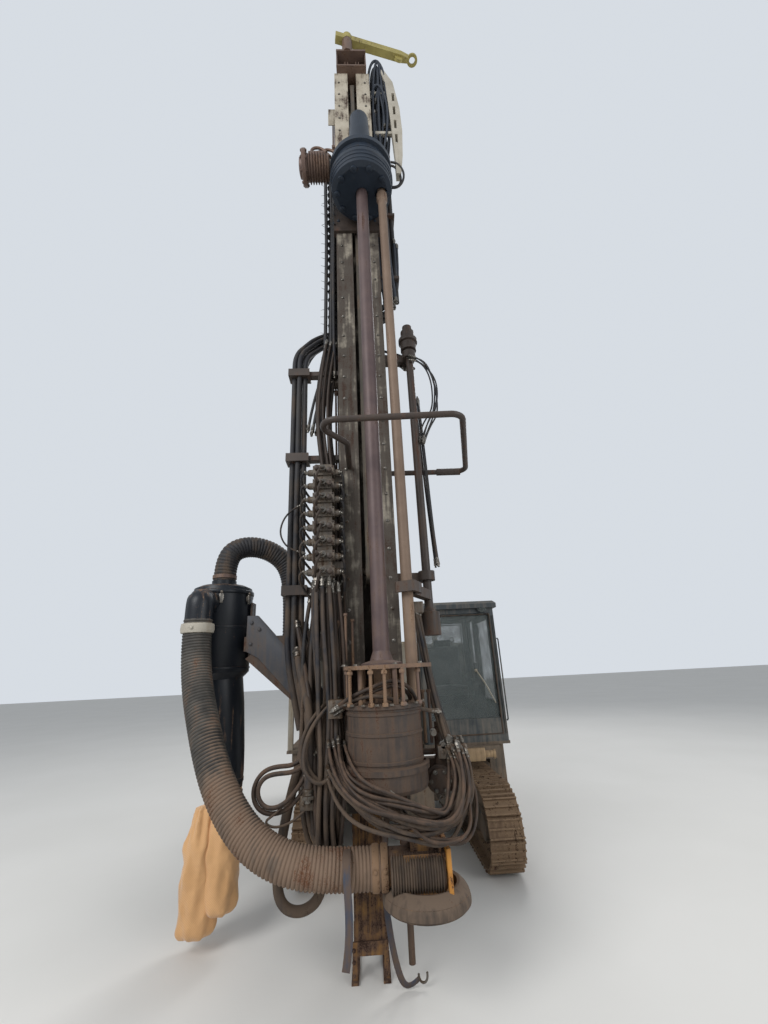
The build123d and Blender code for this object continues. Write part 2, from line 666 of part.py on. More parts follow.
def mast_head():
    pieces = [block(-MAST_HALF_WIDTH, MAST_HALF_WIDTH, MAST_FRONT_Y - 90, MAST_BACK_Y,
                    MAST_TOP, MAST_TOP + 24)]
    for x in (-MAST_HALF_WIDTH, MAST_HALF_WIDTH - HEAD_CHEEK):
        pieces.append(side_plate([
            (MAST_FRONT_Y - 90, MAST_TOP + 20),
            (MAST_BACK_Y, MAST_TOP + 20),
            (MAST_BACK_Y - 40, MAST_TOP + 330),
            (MAST_FRONT_Y - 60, MAST_TOP + 330),
        ], x, x + HEAD_CHEEK))
    pieces.append(across(0, SHEAVE_Z, -MAST_HALF_WIDTH, MAST_HALF_WIDTH, 32.0))
    for x in (-95.0, 60.0):
        wheel = across(0, SHEAVE_Z, x, x + 50, SHEAVE_RADIUS - 24)
        for rim in (x, x + 38):
            wheel = wheel + across(0, SHEAVE_Z, rim, rim + 12, SHEAVE_RADIUS)
        pieces.append(wheel)
    pieces.append(block(-MAST_HALF_WIDTH, MAST_HALF_WIDTH, MAST_FRONT_Y - 100, MAST_BACK_Y - 60,
                        MAST_TOP + 330, MAST_TOP + 366))
    pieces.append(upright(JIB_X, JIB_Y, MAST_TOP + 340, JIB_BOTTOM - GAP, JIB_POST + 18))
    pieces.append(upright(JIB_X, JIB_Y, MAST_TOP + 340, JIB_BOTTOM + 130, JIB_POST * 0.6))
    return joined(pieces)


nodes["mast_head"] = mast_head()


# Jib: tapered box arm on the post, with a hook ring at its end
JIB_TIP = (1010.0, 25.0)
JIB_HEIGHT = 110.0
JIB_HALF = 48.0
RING_RADIUS = 80.0
RING_BORE = 45.0
RING_HEIGHT = 34.0


def jib():
    along = (Vector(*JIB_TIP) - Vector(JIB_X, JIB_Y)).normalized()
    aside = Vector(-along.Y, along.X)
    length = math.dist(JIB_TIP, (JIB_X, JIB_Y))
    stations = (
        # distance from the post, half width
        (-170.0, JIB_HALF),
        (length * 0.75, JIB_HALF),
        (length - RING_RADIUS - 66, JIB_HALF * 0.62),
    )
    post = Vector(JIB_X, JIB_Y)
    left = [post + along * d + aside * w for d, w in stations]
    right = [post + along * d - aside * w for d, w in reversed(stations)]
    arm = plan_plate([(p.X, p.Y) for p in left + right], JIB_BOTTOM, JIB_BOTTOM + JIB_HEIGHT)
    arm = arm + upright(JIB_X, JIB_Y, JIB_BOTTOM, JIB_BOTTOM + JIB_HEIGHT, JIB_POST + 22)
    ring_at = post + along * (length - RING_RADIUS - 5)
    ring_z = JIB_BOTTOM + JIB_HEIGHT / 2
    ring = upright(ring_at.X, ring_at.Y, ring_z - RING_HEIGHT / 2, ring_z + RING_HEIGHT / 2, RING_RADIUS)
    ring_hole = upright(ring_at.X, ring_at.Y, JIB_BOTTOM - 5, JIB_BOTTOM + JIB_HEIGHT + 5, RING_BORE)
    cheek = post + along * (length * 0.72)
    pulley = bar((cheek.X - aside.X * 20, cheek.Y - aside.Y * 20, JIB_BOTTOM - 15),
                 (cheek.X + aside.X * 20, cheek.Y + aside.Y * 20, JIB_BOTTOM - 15), 60)
    hole = upright(JIB_X, JIB_Y, JIB_BOTTOM - 5, JIB_BOTTOM + JIB_HEIGHT + 5, JIB_POST * 0.6 + PIN_FIT)
    return arm + ring + pulley - hole - ring_hole


nodes["jib"] = jib()


# Foot of the mast: inner column and the frame that stands on the ground
def mast_foot():
    column = block(FOOT_X - FOOT_HALF_WIDTH, FOOT_X + FOOT_HALF_WIDTH, FOOT_FRONT_Y, FOOT_BACK_Y,
                   FOOT_FRAME_HEIGHT - 60, FOOT_TOP)
    column = column - block(FOOT_X - FOOT_HALF_WIDTH + 14, FOOT_X + FOOT_HALF_WIDTH - 14,
                            FOOT_FRONT_Y + 14, FOOT_BACK_Y - 14, FOOT_FRAME_HEIGHT, FOOT_TOP + 5)
    half = FOOT_HALF_WIDTH + 14
    pieces = [column]
    for y in (FOOT_FRONT_Y - 14, FOOT_BACK_Y):
        pieces.append(front_plate([
            (FOOT_X - half, 12.0),
            (FOOT_X - half + 34, 12.0),
            (FOOT_X - half + 34, FOOT_FRAME_HEIGHT - 75),
            (FOOT_X + half - 34, FOOT_FRAME_HEIGHT - 75),
            (FOOT_X + half - 34, 12.0),
            (FOOT_X + half, 12.0),
            (FOOT_X + half, FOOT_FRAME_HEIGHT),
            (FOOT_X - half, FOOT_FRAME_HEIGHT),
        ], y, y + 14))
    for x in (FOOT_X - half, FOOT_X + half - 34):
        pieces.append(block(x - 8, x + 42, FOOT_FRONT_Y - 40, FOOT_BACK_Y + 40, 0.0, 14.0))
    return joined(pieces)


nodes["mast_foot"] = mast_foot()


# Guide column of the rotary head, bolted to the table by its flange
TABLE_TOP = TABLE_Z + TABLE_PLATE


def guide_column():
    return turned(COLUMN_X, AXIS_Y, [
        (0, TABLE_TOP),
        (150, TABLE_TOP),
        (150, TABLE_TOP + 12),
        (COLUMN_RADIUS + 22, TABLE_TOP + 30),
        (COLUMN_RADIUS, TABLE_TOP + 95),
        (COLUMN_RADIUS, COLUMN_TOP),
        (0, COLUMN_TOP),
    ])


nodes["guide_column"] = guide_column()


# Table plate with its gussets to the mast and the posts that carry the drum
def rod_table():
    left = -205.0
    plate = plan_plate([
        (left, AXIS_Y - 70),
        (left + 90, AXIS_Y - 200),
        (ROD_X + 40, AXIS_Y - 200),
        (ROD_X + 130, AXIS_Y - 70),
        (ROD_X + 130, MAST_FRONT_Y),
        (left, MAST_FRONT_Y),
    ], TABLE_Z, TABLE_TOP)
    plate = plate - upright(ROD_X, AXIS_Y, TABLE_Z - 5, TABLE_TOP + 5, ROD_HOLE)
    pieces = [plate]
    for x in (left + 6, MAST_HALF_WIDTH - 20):
        pieces.append(side_plate([
            (MAST_FRONT_Y, TABLE_Z),
            (MAST_FRONT_Y - 330, TABLE_Z),
            (MAST_FRONT_Y, TABLE_Z - 260),
        ], x, x + 18))
    for angle in (135.0, 215.0, 295.0, 65.0):
        x = COLUMN_X + (DRUM_RADIUS - 65) * math.cos(math.radians(angle))
        y = AXIS_Y + (DRUM_RADIUS - 65) * math.sin(math.radians(angle))
        pieces.append(upright(x, y, DRUM_TOP, TABLE_Z, 17.0))
    pieces.append(upright(COLUMN_X, AXIS_Y, DRUM_TOP, TABLE_Z, COLUMN_RADIUS))
    return joined(pieces)


nodes["rod_table"] = rod_table()


# Drum below the table: rod centraliser with a rim, a belt and a lower ring
def drum():
    body = turned(COLUMN_X, AXIS_Y, [
        (0, DRUM_BOTTOM),
        (DRUM_RING_RADIUS - 22, DRUM_BOTTOM),
        (DRUM_RING_RADIUS - 14, DRUM_BOTTOM + 22),
        (DRUM_RING_RADIUS - 14, DRUM_FLOOR - 44),
        (DRUM_RING_RADIUS, DRUM_FLOOR - 40),
        (DRUM_RING_RADIUS, DRUM_FLOOR - 8),
        (DRUM_RADIUS, DRUM_FLOOR),
        (DRUM_RADIUS, DRUM_TOP - 30),
        (DRUM_RADIUS + 14, DRUM_TOP - 24),
        (DRUM_RADIUS + 14, DRUM_TOP),
        (0, DRUM_TOP),
    ])
    body = body - upright(ROD_X, AXIS_Y, DRUM_BOTTOM - 5, DRUM_TOP + 5, ROD_HOLE)
    arms = []
    for x in (COLUMN_X - 150, COLUMN_X + 80):
        arms.append(block(x, x + 60, AXIS_Y + 150, MAST_FRONT_Y, DRUM_FLOOR + 60, DRUM_FLOOR + 230))
    return joined([body] + arms)


nodes["drum"] = drum()


# Rotary head: bell-shaped gearbox, neck, carriage and side motor
def rotary_head():
    bore = COLUMN_RADIUS + COLUMN_BORE_GAP
    bell = turned(COLUMN_X, AXIS_Y, [
        (bore, HEAD_BOTTOM),
        (BELL_RADIUS - 70, HEAD_BOTTOM),
        (BELL_RADIUS - 20, HEAD_BOTTOM + 24),
        (BELL_RADIUS - 8, HEAD_BOTTOM + 150),
        (BELL_RADIUS, HEAD_BOTTOM + 160),
        (BELL_RADIUS, HEAD_BOTTOM + 200),
        (BELL_RADIUS - 34, HEAD_BOTTOM + 206),
        (BELL_RADIUS - 40, HEAD_BOTTOM + 340),
        (BELL_RADIUS - 6, HEAD_BOTTOM + 350),
        (BELL_RADIUS - 6, BELL_TOP - 18),
        (BELL_RADIUS - 60, BELL_TOP),
        (165, BELL_TOP + 20),
        (150, BELL_TOP + 170),
        (bore + 62, BELL_TOP + 260),
        (bore + 40, NECK_TOP - 60),
        (bore + 12, NECK_TOP),
        (bore, NECK_TOP),
    ])
    bell = bell - upright(ROD_X, AXIS_Y, HEAD_BOTTOM - 5, HEAD_BOTTOM + 60, ROD_RADIUS + 26)
    yoke = block(COLUMN_X - 180, COLUMN_X + 180, AXIS_Y + 140, MAST_FRONT_Y - CARRIAGE_PLATE - SLIDE_GAP,
                 BELL_TOP - 60, BELL_TOP + 120)
    return (bell + yoke) - upright(COLUMN_X, AXIS_Y, HEAD_BOTTOM - 5, NECK_TOP + 5, bore)


nodes["rotary_head"] = rotary_head()


# Motor block on the left of the head
def head_motor():
    left = MOTOR_X - 175
    right = COLUMN_X - BELL_RADIUS + 6 - GAP
    body = block(left, right, AXIS_Y - 130, AXIS_Y + 130, MOTOR_Z - 150, MOTOR_Z + 90)
    cap = upright(left + 110, AXIS_Y, MOTOR_Z - 190, MOTOR_Z + 190, 95)
    flange = upright(left + 110, AXIS_Y, MOTOR_Z + 88, MOTOR_Z + 112, 118)
    return body + cap + flange


nodes["head_motor"] = head_motor()


# Carriage on the rails of the mast
def carriage():
    front = MAST_FRONT_Y - SLIDE_GAP - CARRIAGE_PLATE
    inner = MAST_HALF_WIDTH + RAIL_OUT + SLIDE_GAP
    hook = MAST_HALF_WIDTH + 12
    plate = block(-CARRIAGE_HALF_WIDTH, CARRIAGE_HALF_WIDTH, front, MAST_FRONT_Y - SLIDE_GAP,
                  CARRIAGE_BOTTOM, CARRIAGE_TOP)
    pieces = [plate]
    for z in (CARRIAGE_BOTTOM, CARRIAGE_TOP - 320):
        for side in (-1, 1):
            outer = inner + 26
            cheek = block(min(side * inner, side * outer), max(side * inner, side * outer),
                          front, MAST_FRONT_Y + RAIL_DEPTH + SLIDE_GAP + 22, z, z + 320)
            lip = block(min(side * hook, side * outer), max(side * hook, side * outer),
                        MAST_FRONT_Y + RAIL_DEPTH + SLIDE_GAP,
                        MAST_FRONT_Y + RAIL_DEPTH + SLIDE_GAP + 22, z, z + 320)
            web = block(min(side * (CARRIAGE_HALF_WIDTH - 10), side * outer),
                        max(side * (CARRIAGE_HALF_WIDTH - 10), side * outer),
                        front, MAST_FRONT_Y - SLIDE_GAP, z, z + 320)
            pieces.extend([cheek, lip, web])
    z = CARRIAGE_TOP - 360
    pieces.append(side_plate([
        (front + 5, z - 100),
        (front + 5, z + 200),
        (front - 70, z + 160),
        (front - 70, z - 60),
    ], -150, 150))
    return joined(pieces)


nodes["carriage"] = carriage()


# Drill rod under the head, turning about its own axis
def drill_rod():
    top = HEAD_BOTTOM + 60 - GAP
    return turned(ROD_X, AXIS_Y, [
        (0, ROD_BOTTOM),
        (ROD_RADIUS - 16, ROD_BOTTOM),
        (ROD_RADIUS, ROD_BOTTOM + 40),
        (ROD_RADIUS, HEAD_BOTTOM - 130),
        (ROD_RADIUS + 14, HEAD_BOTTOM - 110),
        (ROD_RADIUS + 14, HEAD_BOTTOM - 20),
        (ROD_RADIUS + 4, HEAD_BOTTOM - 12),
        (ROD_RADIUS + 4, top),
        (0, top),
    ])


nodes["drill_rod"] = drill_rod()


# Feed chain inside the slot of the mast, on its lower and upper wheels
def feed_chain():
    y_front = MAST_FRONT_Y + 62
    y_back = MAST_BACK_Y - 90
    middle = (y_front + y_back) / 2
    radius = (y_back - y_front) / 2
    low = FOOT_TOP + 900
    high = MAST_TOP - 190
    pieces = [
        block(-26, 26, y_front - 12, y_front + 12, low, high),
        block(-26, 26, y_back - 12, y_back + 12, low, high),
    ]
    inside = MAST_HALF_WIDTH - MAST_WALL
    for z in (low, high):
        pieces.append(across(middle, z, -30, 30, radius + 12))
        pieces.append(across(middle, z, -inside, inside, 34.0))
    return joined(pieces)


nodes["feed_chain"] = feed_chain()


# Guard hoop: bent tube round the rods, held at the side and at the front of the mast
def guard_hoop():
    points = [
        (MAST_HALF_WIDTH, 20.0, HOOP_Z),
        (990.0, 20.0, HOOP_Z),
        (742.0, -1030.0, HOOP_Z),
        (-430.0, -980.0, HOOP_Z),
        (-150.0, -620.0, HOOP_Z),
        (-150.0, MAST_FRONT_Y, HOOP_Z),
    ]
    tube = piped(points, [90.0, 110.0, 110.0, 90.0], HOOP_RADIUS)
    sleeve = across(20.0, HOOP_Z, 700.0, 930.0, HOOP_RADIUS + 9)
    return tube + sleeve


nodes["guard_hoop"] = guard_hoop()


# Valve stack on the left front of the mast: a row of spools with their end caps
VALVE_X = -372.0
VALVE_Y = -300.0
VALVE_LOW = 2630.0
VALVE_COUNT = 8
VALVE_STEP = 128.0


def valve_stack():
    top = VALVE_LOW + VALVE_COUNT * VALVE_STEP
    pieces = [block(VALVE_X - 72, VALVE_X + 72, VALVE_Y - 60, VALVE_Y + 60, VALVE_LOW, top)]
    for index in range(VALVE_COUNT):
        z = VALVE_LOW + (index + 0.5) * VALVE_STEP
        pieces.append(block(VALVE_X - 92, VALVE_X + 92, VALVE_Y - 78, VALVE_Y + 70, z - 44, z + 44))
        pieces.append(bar((VALVE_X - 130, VALVE_Y - 20, z), (VALVE_X + 130, VALVE_Y - 20, z), 30))
        pieces.append(bar((VALVE_X, VALVE_Y - 120, z), (VALVE_X, VALVE_Y, z), 24))
    for z in (VALVE_LOW + 100, top - 140):
        pieces.append(block(VALVE_X - 20, -MAST_HALF_WIDTH - RAIL_OUT + 40, VALVE_Y + 20,
                            MAST_FRONT_Y, z, z + 60))
    return joined(pieces)


nodes["valve_stack"] = valve_stack()


# Hose guide: curved slotted plate at the right of the mast's top
def hose_guide():
    stations = (
        # x of the outer edge, width, height
        (470.0, 60.0, 10200.0),
        (590.0, 110.0, 9900.0),
        (655.0, 150.0, 9300.0),
        (665.0, 140.0, 8800.0),
        (640.0, 100.0, 8300.0),
        (600.0, 60.0, 7950.0),
    )
    outer = [(x, z) for x, w, z in stations]
    inner = [(x - w, z) for x, w, z in reversed(stations)]
    plate = front_plate(outer + inner, -60.0, 40.0)
    for z in (8650.0, 8950.0, 9250.0, 9550.0):
        plate = plate - block(560, 596, -80, 60, z - 90, z + 90)
    arms = []
    for z in (8800.0, 9690.0):
        arms.append(block(MAST_HALF_WIDTH, 540, -30, 20, z, z + 50))
    return joined([plate] + arms)


nodes["hose_guide"] = hose_guide()


# Hose bundle of the head on the right side of the mast
TOP_HOSES = (
    # x, y, top, bottom, radius
    (262.0, 60.0, 9950.0, 6100.0, 24.0),
    (322.0, 90.0, 9950.0, 5900.0, 27.0),
    (384.0, 70.0, 9900.0, 5980.0, 24.0),
    (440.0, 100.0, 9700.0, 5950.0, 27.0),
    (352.0, 150.0, 9800.0, 6000.0, 24.0),
    (410.0, 165.0, 9650.0, 6000.0, 24.0),
)


def top_hoses():
    return [upright(x, y, low, high, radius) for x, y, high, low, radius in TOP_HOSES]


def hose_clamps():
    pieces = []
    for z in (6250.0, 7300.0, 8400.0, 9500.0):
        clamp = block(MAST_HALF_WIDTH, 480, 25, 200, z, z + 40)
        for x, y, high, low, radius in TOP_HOSES:
            clamp = clamp - upright(x, y, z - 5, z + 45, radius + GAP)
        pieces.append(clamp)
    return pieces


nodes["top_hoses"] = separate(top_hoses())


# Hose trunk on the left of the mast: four thick hoses and their clamps
TRUNK_X = -656.0
TRUNK_Y = 0.0
TRUNK_RADIUS = 26.0
TRUNK_TABLE = (
    # x offset, y offset
    (-56.0, 0.0),
    (0.0, -30.0),
    (0.0, 30.0),
    (56.0, 0.0),
)


def hose_trunk():
    pieces = []
    for dx, dy in TRUNK_TABLE:
        lift = -dx
        points = [
            (330.0, 330.0 + dy, 5980.0 + lift),
            (-60.0, 330.0 + dy, 5760.0 + lift),
            (TRUNK_X + 190 + dx, 200.0 + dy, 5480.0 + lift),
            (TRUNK_X + dx, TRUNK_Y + dy, 5120.0 + lift * 0.4),
            (TRUNK_X + dx, TRUNK_Y + dy, 2050.0),
            (TRUNK_X + dx + 120, TRUNK_Y + dy - 20, 1500.0),
        ]
        pieces.append(piped(points, bend_radii(points, 0.3), TRUNK_RADIUS))
    return separate(pieces)


nodes["hose_trunk"] = hose_trunk()


def trunk_clamps():
    pieces = []
    for z in (4870.0, 3885.0, 2600.0):
        arm = block(TRUNK_X - 100, -MAST_HALF_WIDTH, TRUNK_Y - 40, TRUNK_Y + 40, z - 25, z + 25)
        cheek = block(TRUNK_X - 110, TRUNK_X + 110, TRUNK_Y - 75, TRUNK_Y + 75, z - 42, z + 42)
        clamp = arm + cheek
        for dx, dy in TRUNK_TABLE:
            clamp = clamp - upright(TRUNK_X + dx, TRUNK_Y + dy, z - 60, z + 60, TRUNK_RADIUS + GAP)
        pieces.append(clamp)
    return pieces


# Rod handler: turning pole with its drive, and the arm with the open jaw
def rod_handler():
    reach = math.dist((POLE_X, POLE_Y), (ROD_X, AXIS_Y))
    toward = math.degrees(math.atan2(AXIS_Y - POLE_Y, ROD_X - POLE_X))
    pole = turned(POLE_X, POLE_Y, [
        (0, POLE_BOTTOM),
        (85, POLE_BOTTOM),
        (85, POLE_BOTTOM + 190),
        (POLE_RADIUS + 14, POLE_BOTTOM + 200),
        (POLE_RADIUS, POLE_BOTTOM + 230),
        (POLE_RADIUS, POLE_TOP - 320),
        (82, POLE_TOP - 318),
        (82, POLE_TOP - 220),
        (100, POLE_TOP - 215),
        (100, POLE_TOP - 175),
        (72, POLE_TOP - 170),
        (72, POLE_TOP - 70),
        (50, POLE_TOP - 65),
        (50, POLE_TOP),
        (0, POLE_TOP),
    ])
    inner = ROD_RADIUS + JAW_GAP
    outer = inner + JAW_FINGER
    corner = JAW_FINGER / 2
    arm = block(0, reach - inner - corner, -JAW_ARM / 2, JAW_ARM / 2, 0, JAW_HEIGHT)
    jaw = plan_plate([
        (reach - inner, -JAW_REACH),
        (reach - inner, inner),
        (reach + inner, inner),
        (reach + inner, -JAW_REACH),
        (reach + outer - corner, -JAW_REACH - corner),
        (reach + outer, -JAW_REACH),
        (reach + outer, outer - corner),
        (reach + outer - corner, outer),
        (reach - outer + corner, outer),
        (reach - outer, outer - corner),
        (reach - outer, -JAW_REACH),
        (reach - outer + corner, -JAW_REACH - corner),
    ], 0, JAW_HEIGHT)
    return pole + Pos(POLE_X, POLE_Y, JAW_Z) * Rot(0, 0, toward) * (arm + jaw)


nodes["rod_handler"] = rod_handler()


# Brackets that carry the pole at the side of the mast
def pole_brackets():
    pieces = []
    for z in (POLE_BOTTOM + 460, POLE_TOP - 420):
        arm = block(MAST_HALF_WIDTH, POLE_X, POLE_Y + 30, POLE_Y + 120, z, z + 80)
        arm = arm + upright(POLE_X, POLE_Y, z, z + 80, POLE_RADIUS + 34)
        pieces.append(arm - upright(POLE_X, POLE_Y, z - 5, z + 85, POLE_RADIUS + PIN_FIT))
    return pieces


# Suction hood: box with a throat for the rod, its guide and the rubber skirt
HOOD_GUIDE_X = 190.0
HOOD_GUIDE_Y = -215.0
HOOD_GUIDE_RADIUS = 22.0
HOOD_HOSE_Z = 765.0


def suction_hood():
    hood = block(ROD_X - HOOD_HALF, ROD_X + HOOD_HALF, AXIS_Y - HOOD_HALF, AXIS_Y + HOOD_HALF,
                 HOOD_BOTTOM, HOOD_TOP - 110)
    cap = block(ROD_X - 90, ROD_X + 90, AXIS_Y - 90, AXIS_Y + 90, HOOD_TOP - 110, HOOD_TOP)
    rim = upright(ROD_X, AXIS_Y, HOOD_BOTTOM - 14, HOOD_BOTTOM, SKIRT_RADIUS + 8)
    spout = bar((ROD_X, AXIS_Y, HOOD_HOSE_Z), (ROD_X - HOOD_HALF - 90, AXIS_Y, HOOD_HOSE_Z), HOSE_RADIUS - 12)
    shell = hood + cap + rim + spout
    cavity = block(ROD_X - HOOD_HALF + 10, ROD_X + HOOD_HALF - 10, AXIS_Y - HOOD_HALF + 10,
                   AXIS_Y + HOOD_HALF - 10, HOOD_BOTTOM - 20, HOOD_TOP - 120)
    shell = shell - cavity
    shell = shell - upright(ROD_X, AXIS_Y, HOOD_BOTTOM - 20, HOOD_TOP + 5, ROD_HOLE)
    shell = shell - bar((ROD_X, AXIS_Y, HOOD_HOSE_Z), (ROD_X - HOOD_HALF - 95, AXIS_Y, HOOD_HOSE_Z),
                        HOSE_RADIUS - 20)
    arm = block(HOOD_GUIDE_X - 40, HOOD_GUIDE_X + 40, AXIS_Y + HOOD_HALF, HOOD_GUIDE_Y + 40,
                HOOD_BOTTOM + 60, HOOD_BOTTOM + 200)
    arm = arm - upright(HOOD_GUIDE_X, HOOD_GUIDE_Y, HOOD_BOTTOM, HOOD_TOP, HOOD_GUIDE_RADIUS + PIN_FIT)
    return shell + arm


nodes["suction_hood"] = suction_hood()
nodes["hood_skirt"] = (
    upright(ROD_X, AXIS_Y, SKIRT_BOTTOM, HOOD_BOTTOM - 14, SKIRT_RADIUS)
    - upright(ROD_X, AXIS_Y, SKIRT_BOTTOM - 5, HOOD_BOTTOM, SKIRT_RADIUS - 14)
)


# Guide rod of the hood, hung from the front of the mast
def hood_guide():
    rod = upright(HOOD_GUIDE_X, HOOD_GUIDE_Y, 120.0, MAST_BOTTOM + 160, HOOD_GUIDE_RADIUS)
    head = block(HOOD_GUIDE_X - 50, HOOD_GUIDE_X + 20, HOOD_GUIDE_Y - 40, MAST_FRONT_Y,
                 MAST_BOTTOM + 60, MAST_BOTTOM + 190)
    return rod + head


# Cyclone: turned shell with its neck, carried by an arm from the mast
def cyclone():
    return turned(CYCLONE_X, CYCLONE_Y, [
        (0, NECK_BOTTOM),
        (NECK_RADIUS, NECK_BOTTOM),
        (NECK_RADIUS, NECK_BOTTOM + 40),
        (CYCLONE_LOW_RADIUS, CYCLONE_LOW),
        (CYCLONE_LOW_RADIUS, CYCLONE_WAIST - 60),
        (CYCLONE_RADIUS, CYCLONE_WAIST),
        (CYCLONE_RADIUS, CYCLONE_TOP),
        (CYCLONE_RADIUS - 40, CYCLONE_TOP + 20),
        (DUCT_RADIUS + 12, CYCLONE_TOP + 20),
        (DUCT_RADIUS + 12, CYCLONE_TOP + 80),
        (0, CYCLONE_TOP + 80),
    ])


INLET_X = CYCLONE_X - 50.0
INLET_Y = CYCLONE_Y - 430.0
INLET_Z = 2540.0
INLET_END = 2380.0


def cyclone_inlet():
    points = [(INLET_X, CYCLONE_Y, INLET_Z), (INLET_X, INLET_Y, INLET_Z), (INLET_X, INLET_Y, INLET_END)]
    return piped(points, [HOSE_RADIUS + 20], HOSE_RADIUS - 6)


nodes["cyclone"] = cyclone() + cyclone_inlet()


def cyclone_arm():
    edge = CYCLONE_X + CYCLONE_RADIUS
    pieces = [block(edge + GAP, edge + 18, CYCLONE_Y - 60, CYCLONE_Y + 60, 2050.0, 2560.0)]
    pieces.append(block(edge + 18, -MAST_HALF_WIDTH, 110.0, 190.0, 2120.0, 2240.0))
    pieces.append(block(edge + 4, edge + 60, 110.0, CYCLONE_Y + 40, 2120.0, 2240.0))
    pieces.append(front_plate([
        (edge + 18, 2060.0),
        (edge + 120, 2130.0),
        (-MAST_HALF_WIDTH, 1420.0),
        (-MAST_HALF_WIDTH, 1300.0),
    ], 120.0, 170.0))
    return joined(pieces)


nodes["mast_arms"] = separate(
    [cyclone_arm(), hood_guide()] + pole_brackets() + trunk_clamps() + hose_clamps()
)


# Dust bag: two hanging lobes below the neck
def dust_bag():
    top = NECK_BOTTOM
    stations = (
        # z, half width, half depth
        (top, NECK_RADIUS + 14, NECK_RADIUS + 14),
        (top - 260, 190.0, 150.0),
        (420.0, 225.0, 165.0),
        (4.0, 240.0, 175.0),
    )
    faces = [Pos(CYCLONE_X + 60, CYCLONE_Y, z) * Rectangle(2 * w, 2 * d) for z, w, d in stations]
    faces = [fillet(face.vertices(), 70.0) for face in faces]
    return loft(faces, ruled=True)


nodes["dust_bag"] = dust_bag()


# Suction hose from the hood to the cyclone
SUCTION_ROUTE = [
    (ROD_X - HOOD_HALF - 90, AXIS_Y, HOOD_HOSE_Z),
    (-130.0, AXIS_Y, HOOD_HOSE_Z),
    (-480.0, -630.0, 790.0),
    (-830.0, -560.0, 930.0),
    (-1090.0, -420.0, 1230.0),
    (-1270.0, -260.0, 1600.0),
    (INLET_X, INLET_Y, 2000.0),
    (INLET_X, INLET_Y, INLET_END),
]
nodes["suction_hose"] = piped(SUCTION_ROUTE, bend_radii(SUCTION_ROUTE), HOSE_RADIUS)


# Duct from the cyclone's top to the swivel on the tilt axis
DUCT_END_X = -600.0
DUCT_ROUTE = [
    (CYCLONE_X, CYCLONE_Y, CYCLONE_TOP + 80),
    (CYCLONE_X, CYCLONE_Y, 3040.0),
    (-1080.0, 480.0, 3110.0),
    (-800.0, 600.0, 2900.0),
    (-770.0, BOOM_TIP_Y, 2480.0),
    (-760.0, BOOM_TIP_Y, BOOM_TIP_Z),
    (DUCT_END_X, BOOM_TIP_Y, BOOM_TIP_Z),
]
nodes["dust_duct"] = piped(DUCT_ROUTE, bend_radii(DUCT_ROUTE), DUCT_RADIUS)

BOOM_DUCT_X = -430.0
BOOM_DUCT_ROUTE = [
    (DUCT_END_X + 1, BOOM_TIP_Y, BOOM_TIP_Z),
    (BOOM_DUCT_X, BOOM_TIP_Y, BOOM_TIP_Z),
    (BOOM_DUCT_X, BOOM_FOOT_Y, BOOM_FOOT_Z),
    (-560.0, BOOM_FOOT_Y, BOOM_FOOT_Z),
]


def boom_duct():
    pipe = piped(BOOM_DUCT_ROUTE, [120.0, 120.0], DUCT_RADIUS)
    saddles = []
    for share in (0.3, 0.7):
        y = BOOM_TIP_Y + (BOOM_FOOT_Y - BOOM_TIP_Y) * share
        z = BOOM_TIP_Z + (BOOM_FOOT_Z - BOOM_TIP_Z) * share
        saddles.append(bar((BOOM_DUCT_X, y, z), (-BOOM_WIDTH / 2, y, z), 40))
    return joined([pipe] + saddles)


nodes["boom_duct"] = boom_duct()


# Deck of the upper works with the cut-out for the boom's foot
def deck():
    return plan_plate([
        (DECK_LEFT_X, DECK_FRONT_Y + 120),
        (-330.0, DECK_FRONT_Y + 120),
        (-330.0, DECK_FRONT_Y + 60),
        (CAB_LEFT_X - 20, DECK_FRONT_Y + 60),
        (CAB_LEFT_X - 20, DECK_FRONT_Y),
        (CAB_RIGHT_X, DECK_FRONT_Y),
        (CAB_RIGHT_X, DECK_REAR_Y),
        (DECK_LEFT_X, DECK_REAR_Y),
    ], DECK_BOTTOM, DECK_TOP)


nodes["deck"] = deck() + block(980.0, 1470.0, CAB_FRONT_Y - 90, CAB_FRONT_Y + 60, 880.0, DECK_BOTTOM)


# Cab: walls with window and door openings, roof, glass, door, seat and console
CAB_MIDDLE_X = (CAB_LEFT_X + CAB_RIGHT_X) / 2
CAB_SILL = DECK_TOP + 620
WINDOW_TOP = CAB_TOP - CAB_ROOF - 60
DOOR_FRONT_Y = CAB_FRONT_Y + 160
DOOR_SHARE = 0.552           # length of the door opening over the cab's length
DOOR_REAR_Y = DOOR_FRONT_Y + DOOR_SHARE * (CAB_REAR_Y - CAB_FRONT_Y)
DOOR_GAP = 5.0
FRONT_WINDOW = (CAB_LEFT_X + 70, CAB_RIGHT_X - 70, DECK_TOP + 250, WINDOW_TOP)
REAR_WINDOW = (CAB_LEFT_X + 120, CAB_RIGHT_X - 120, CAB_SILL + 120, WINDOW_TOP)
LEFT_WINDOW = (CAB_FRONT_Y + 110, CAB_REAR_Y - 560, CAB_SILL, WINDOW_TOP)
RIGHT_WINDOW = (DOOR_REAR_Y + 90, CAB_REAR_Y - 110, CAB_SILL, WINDOW_TOP)


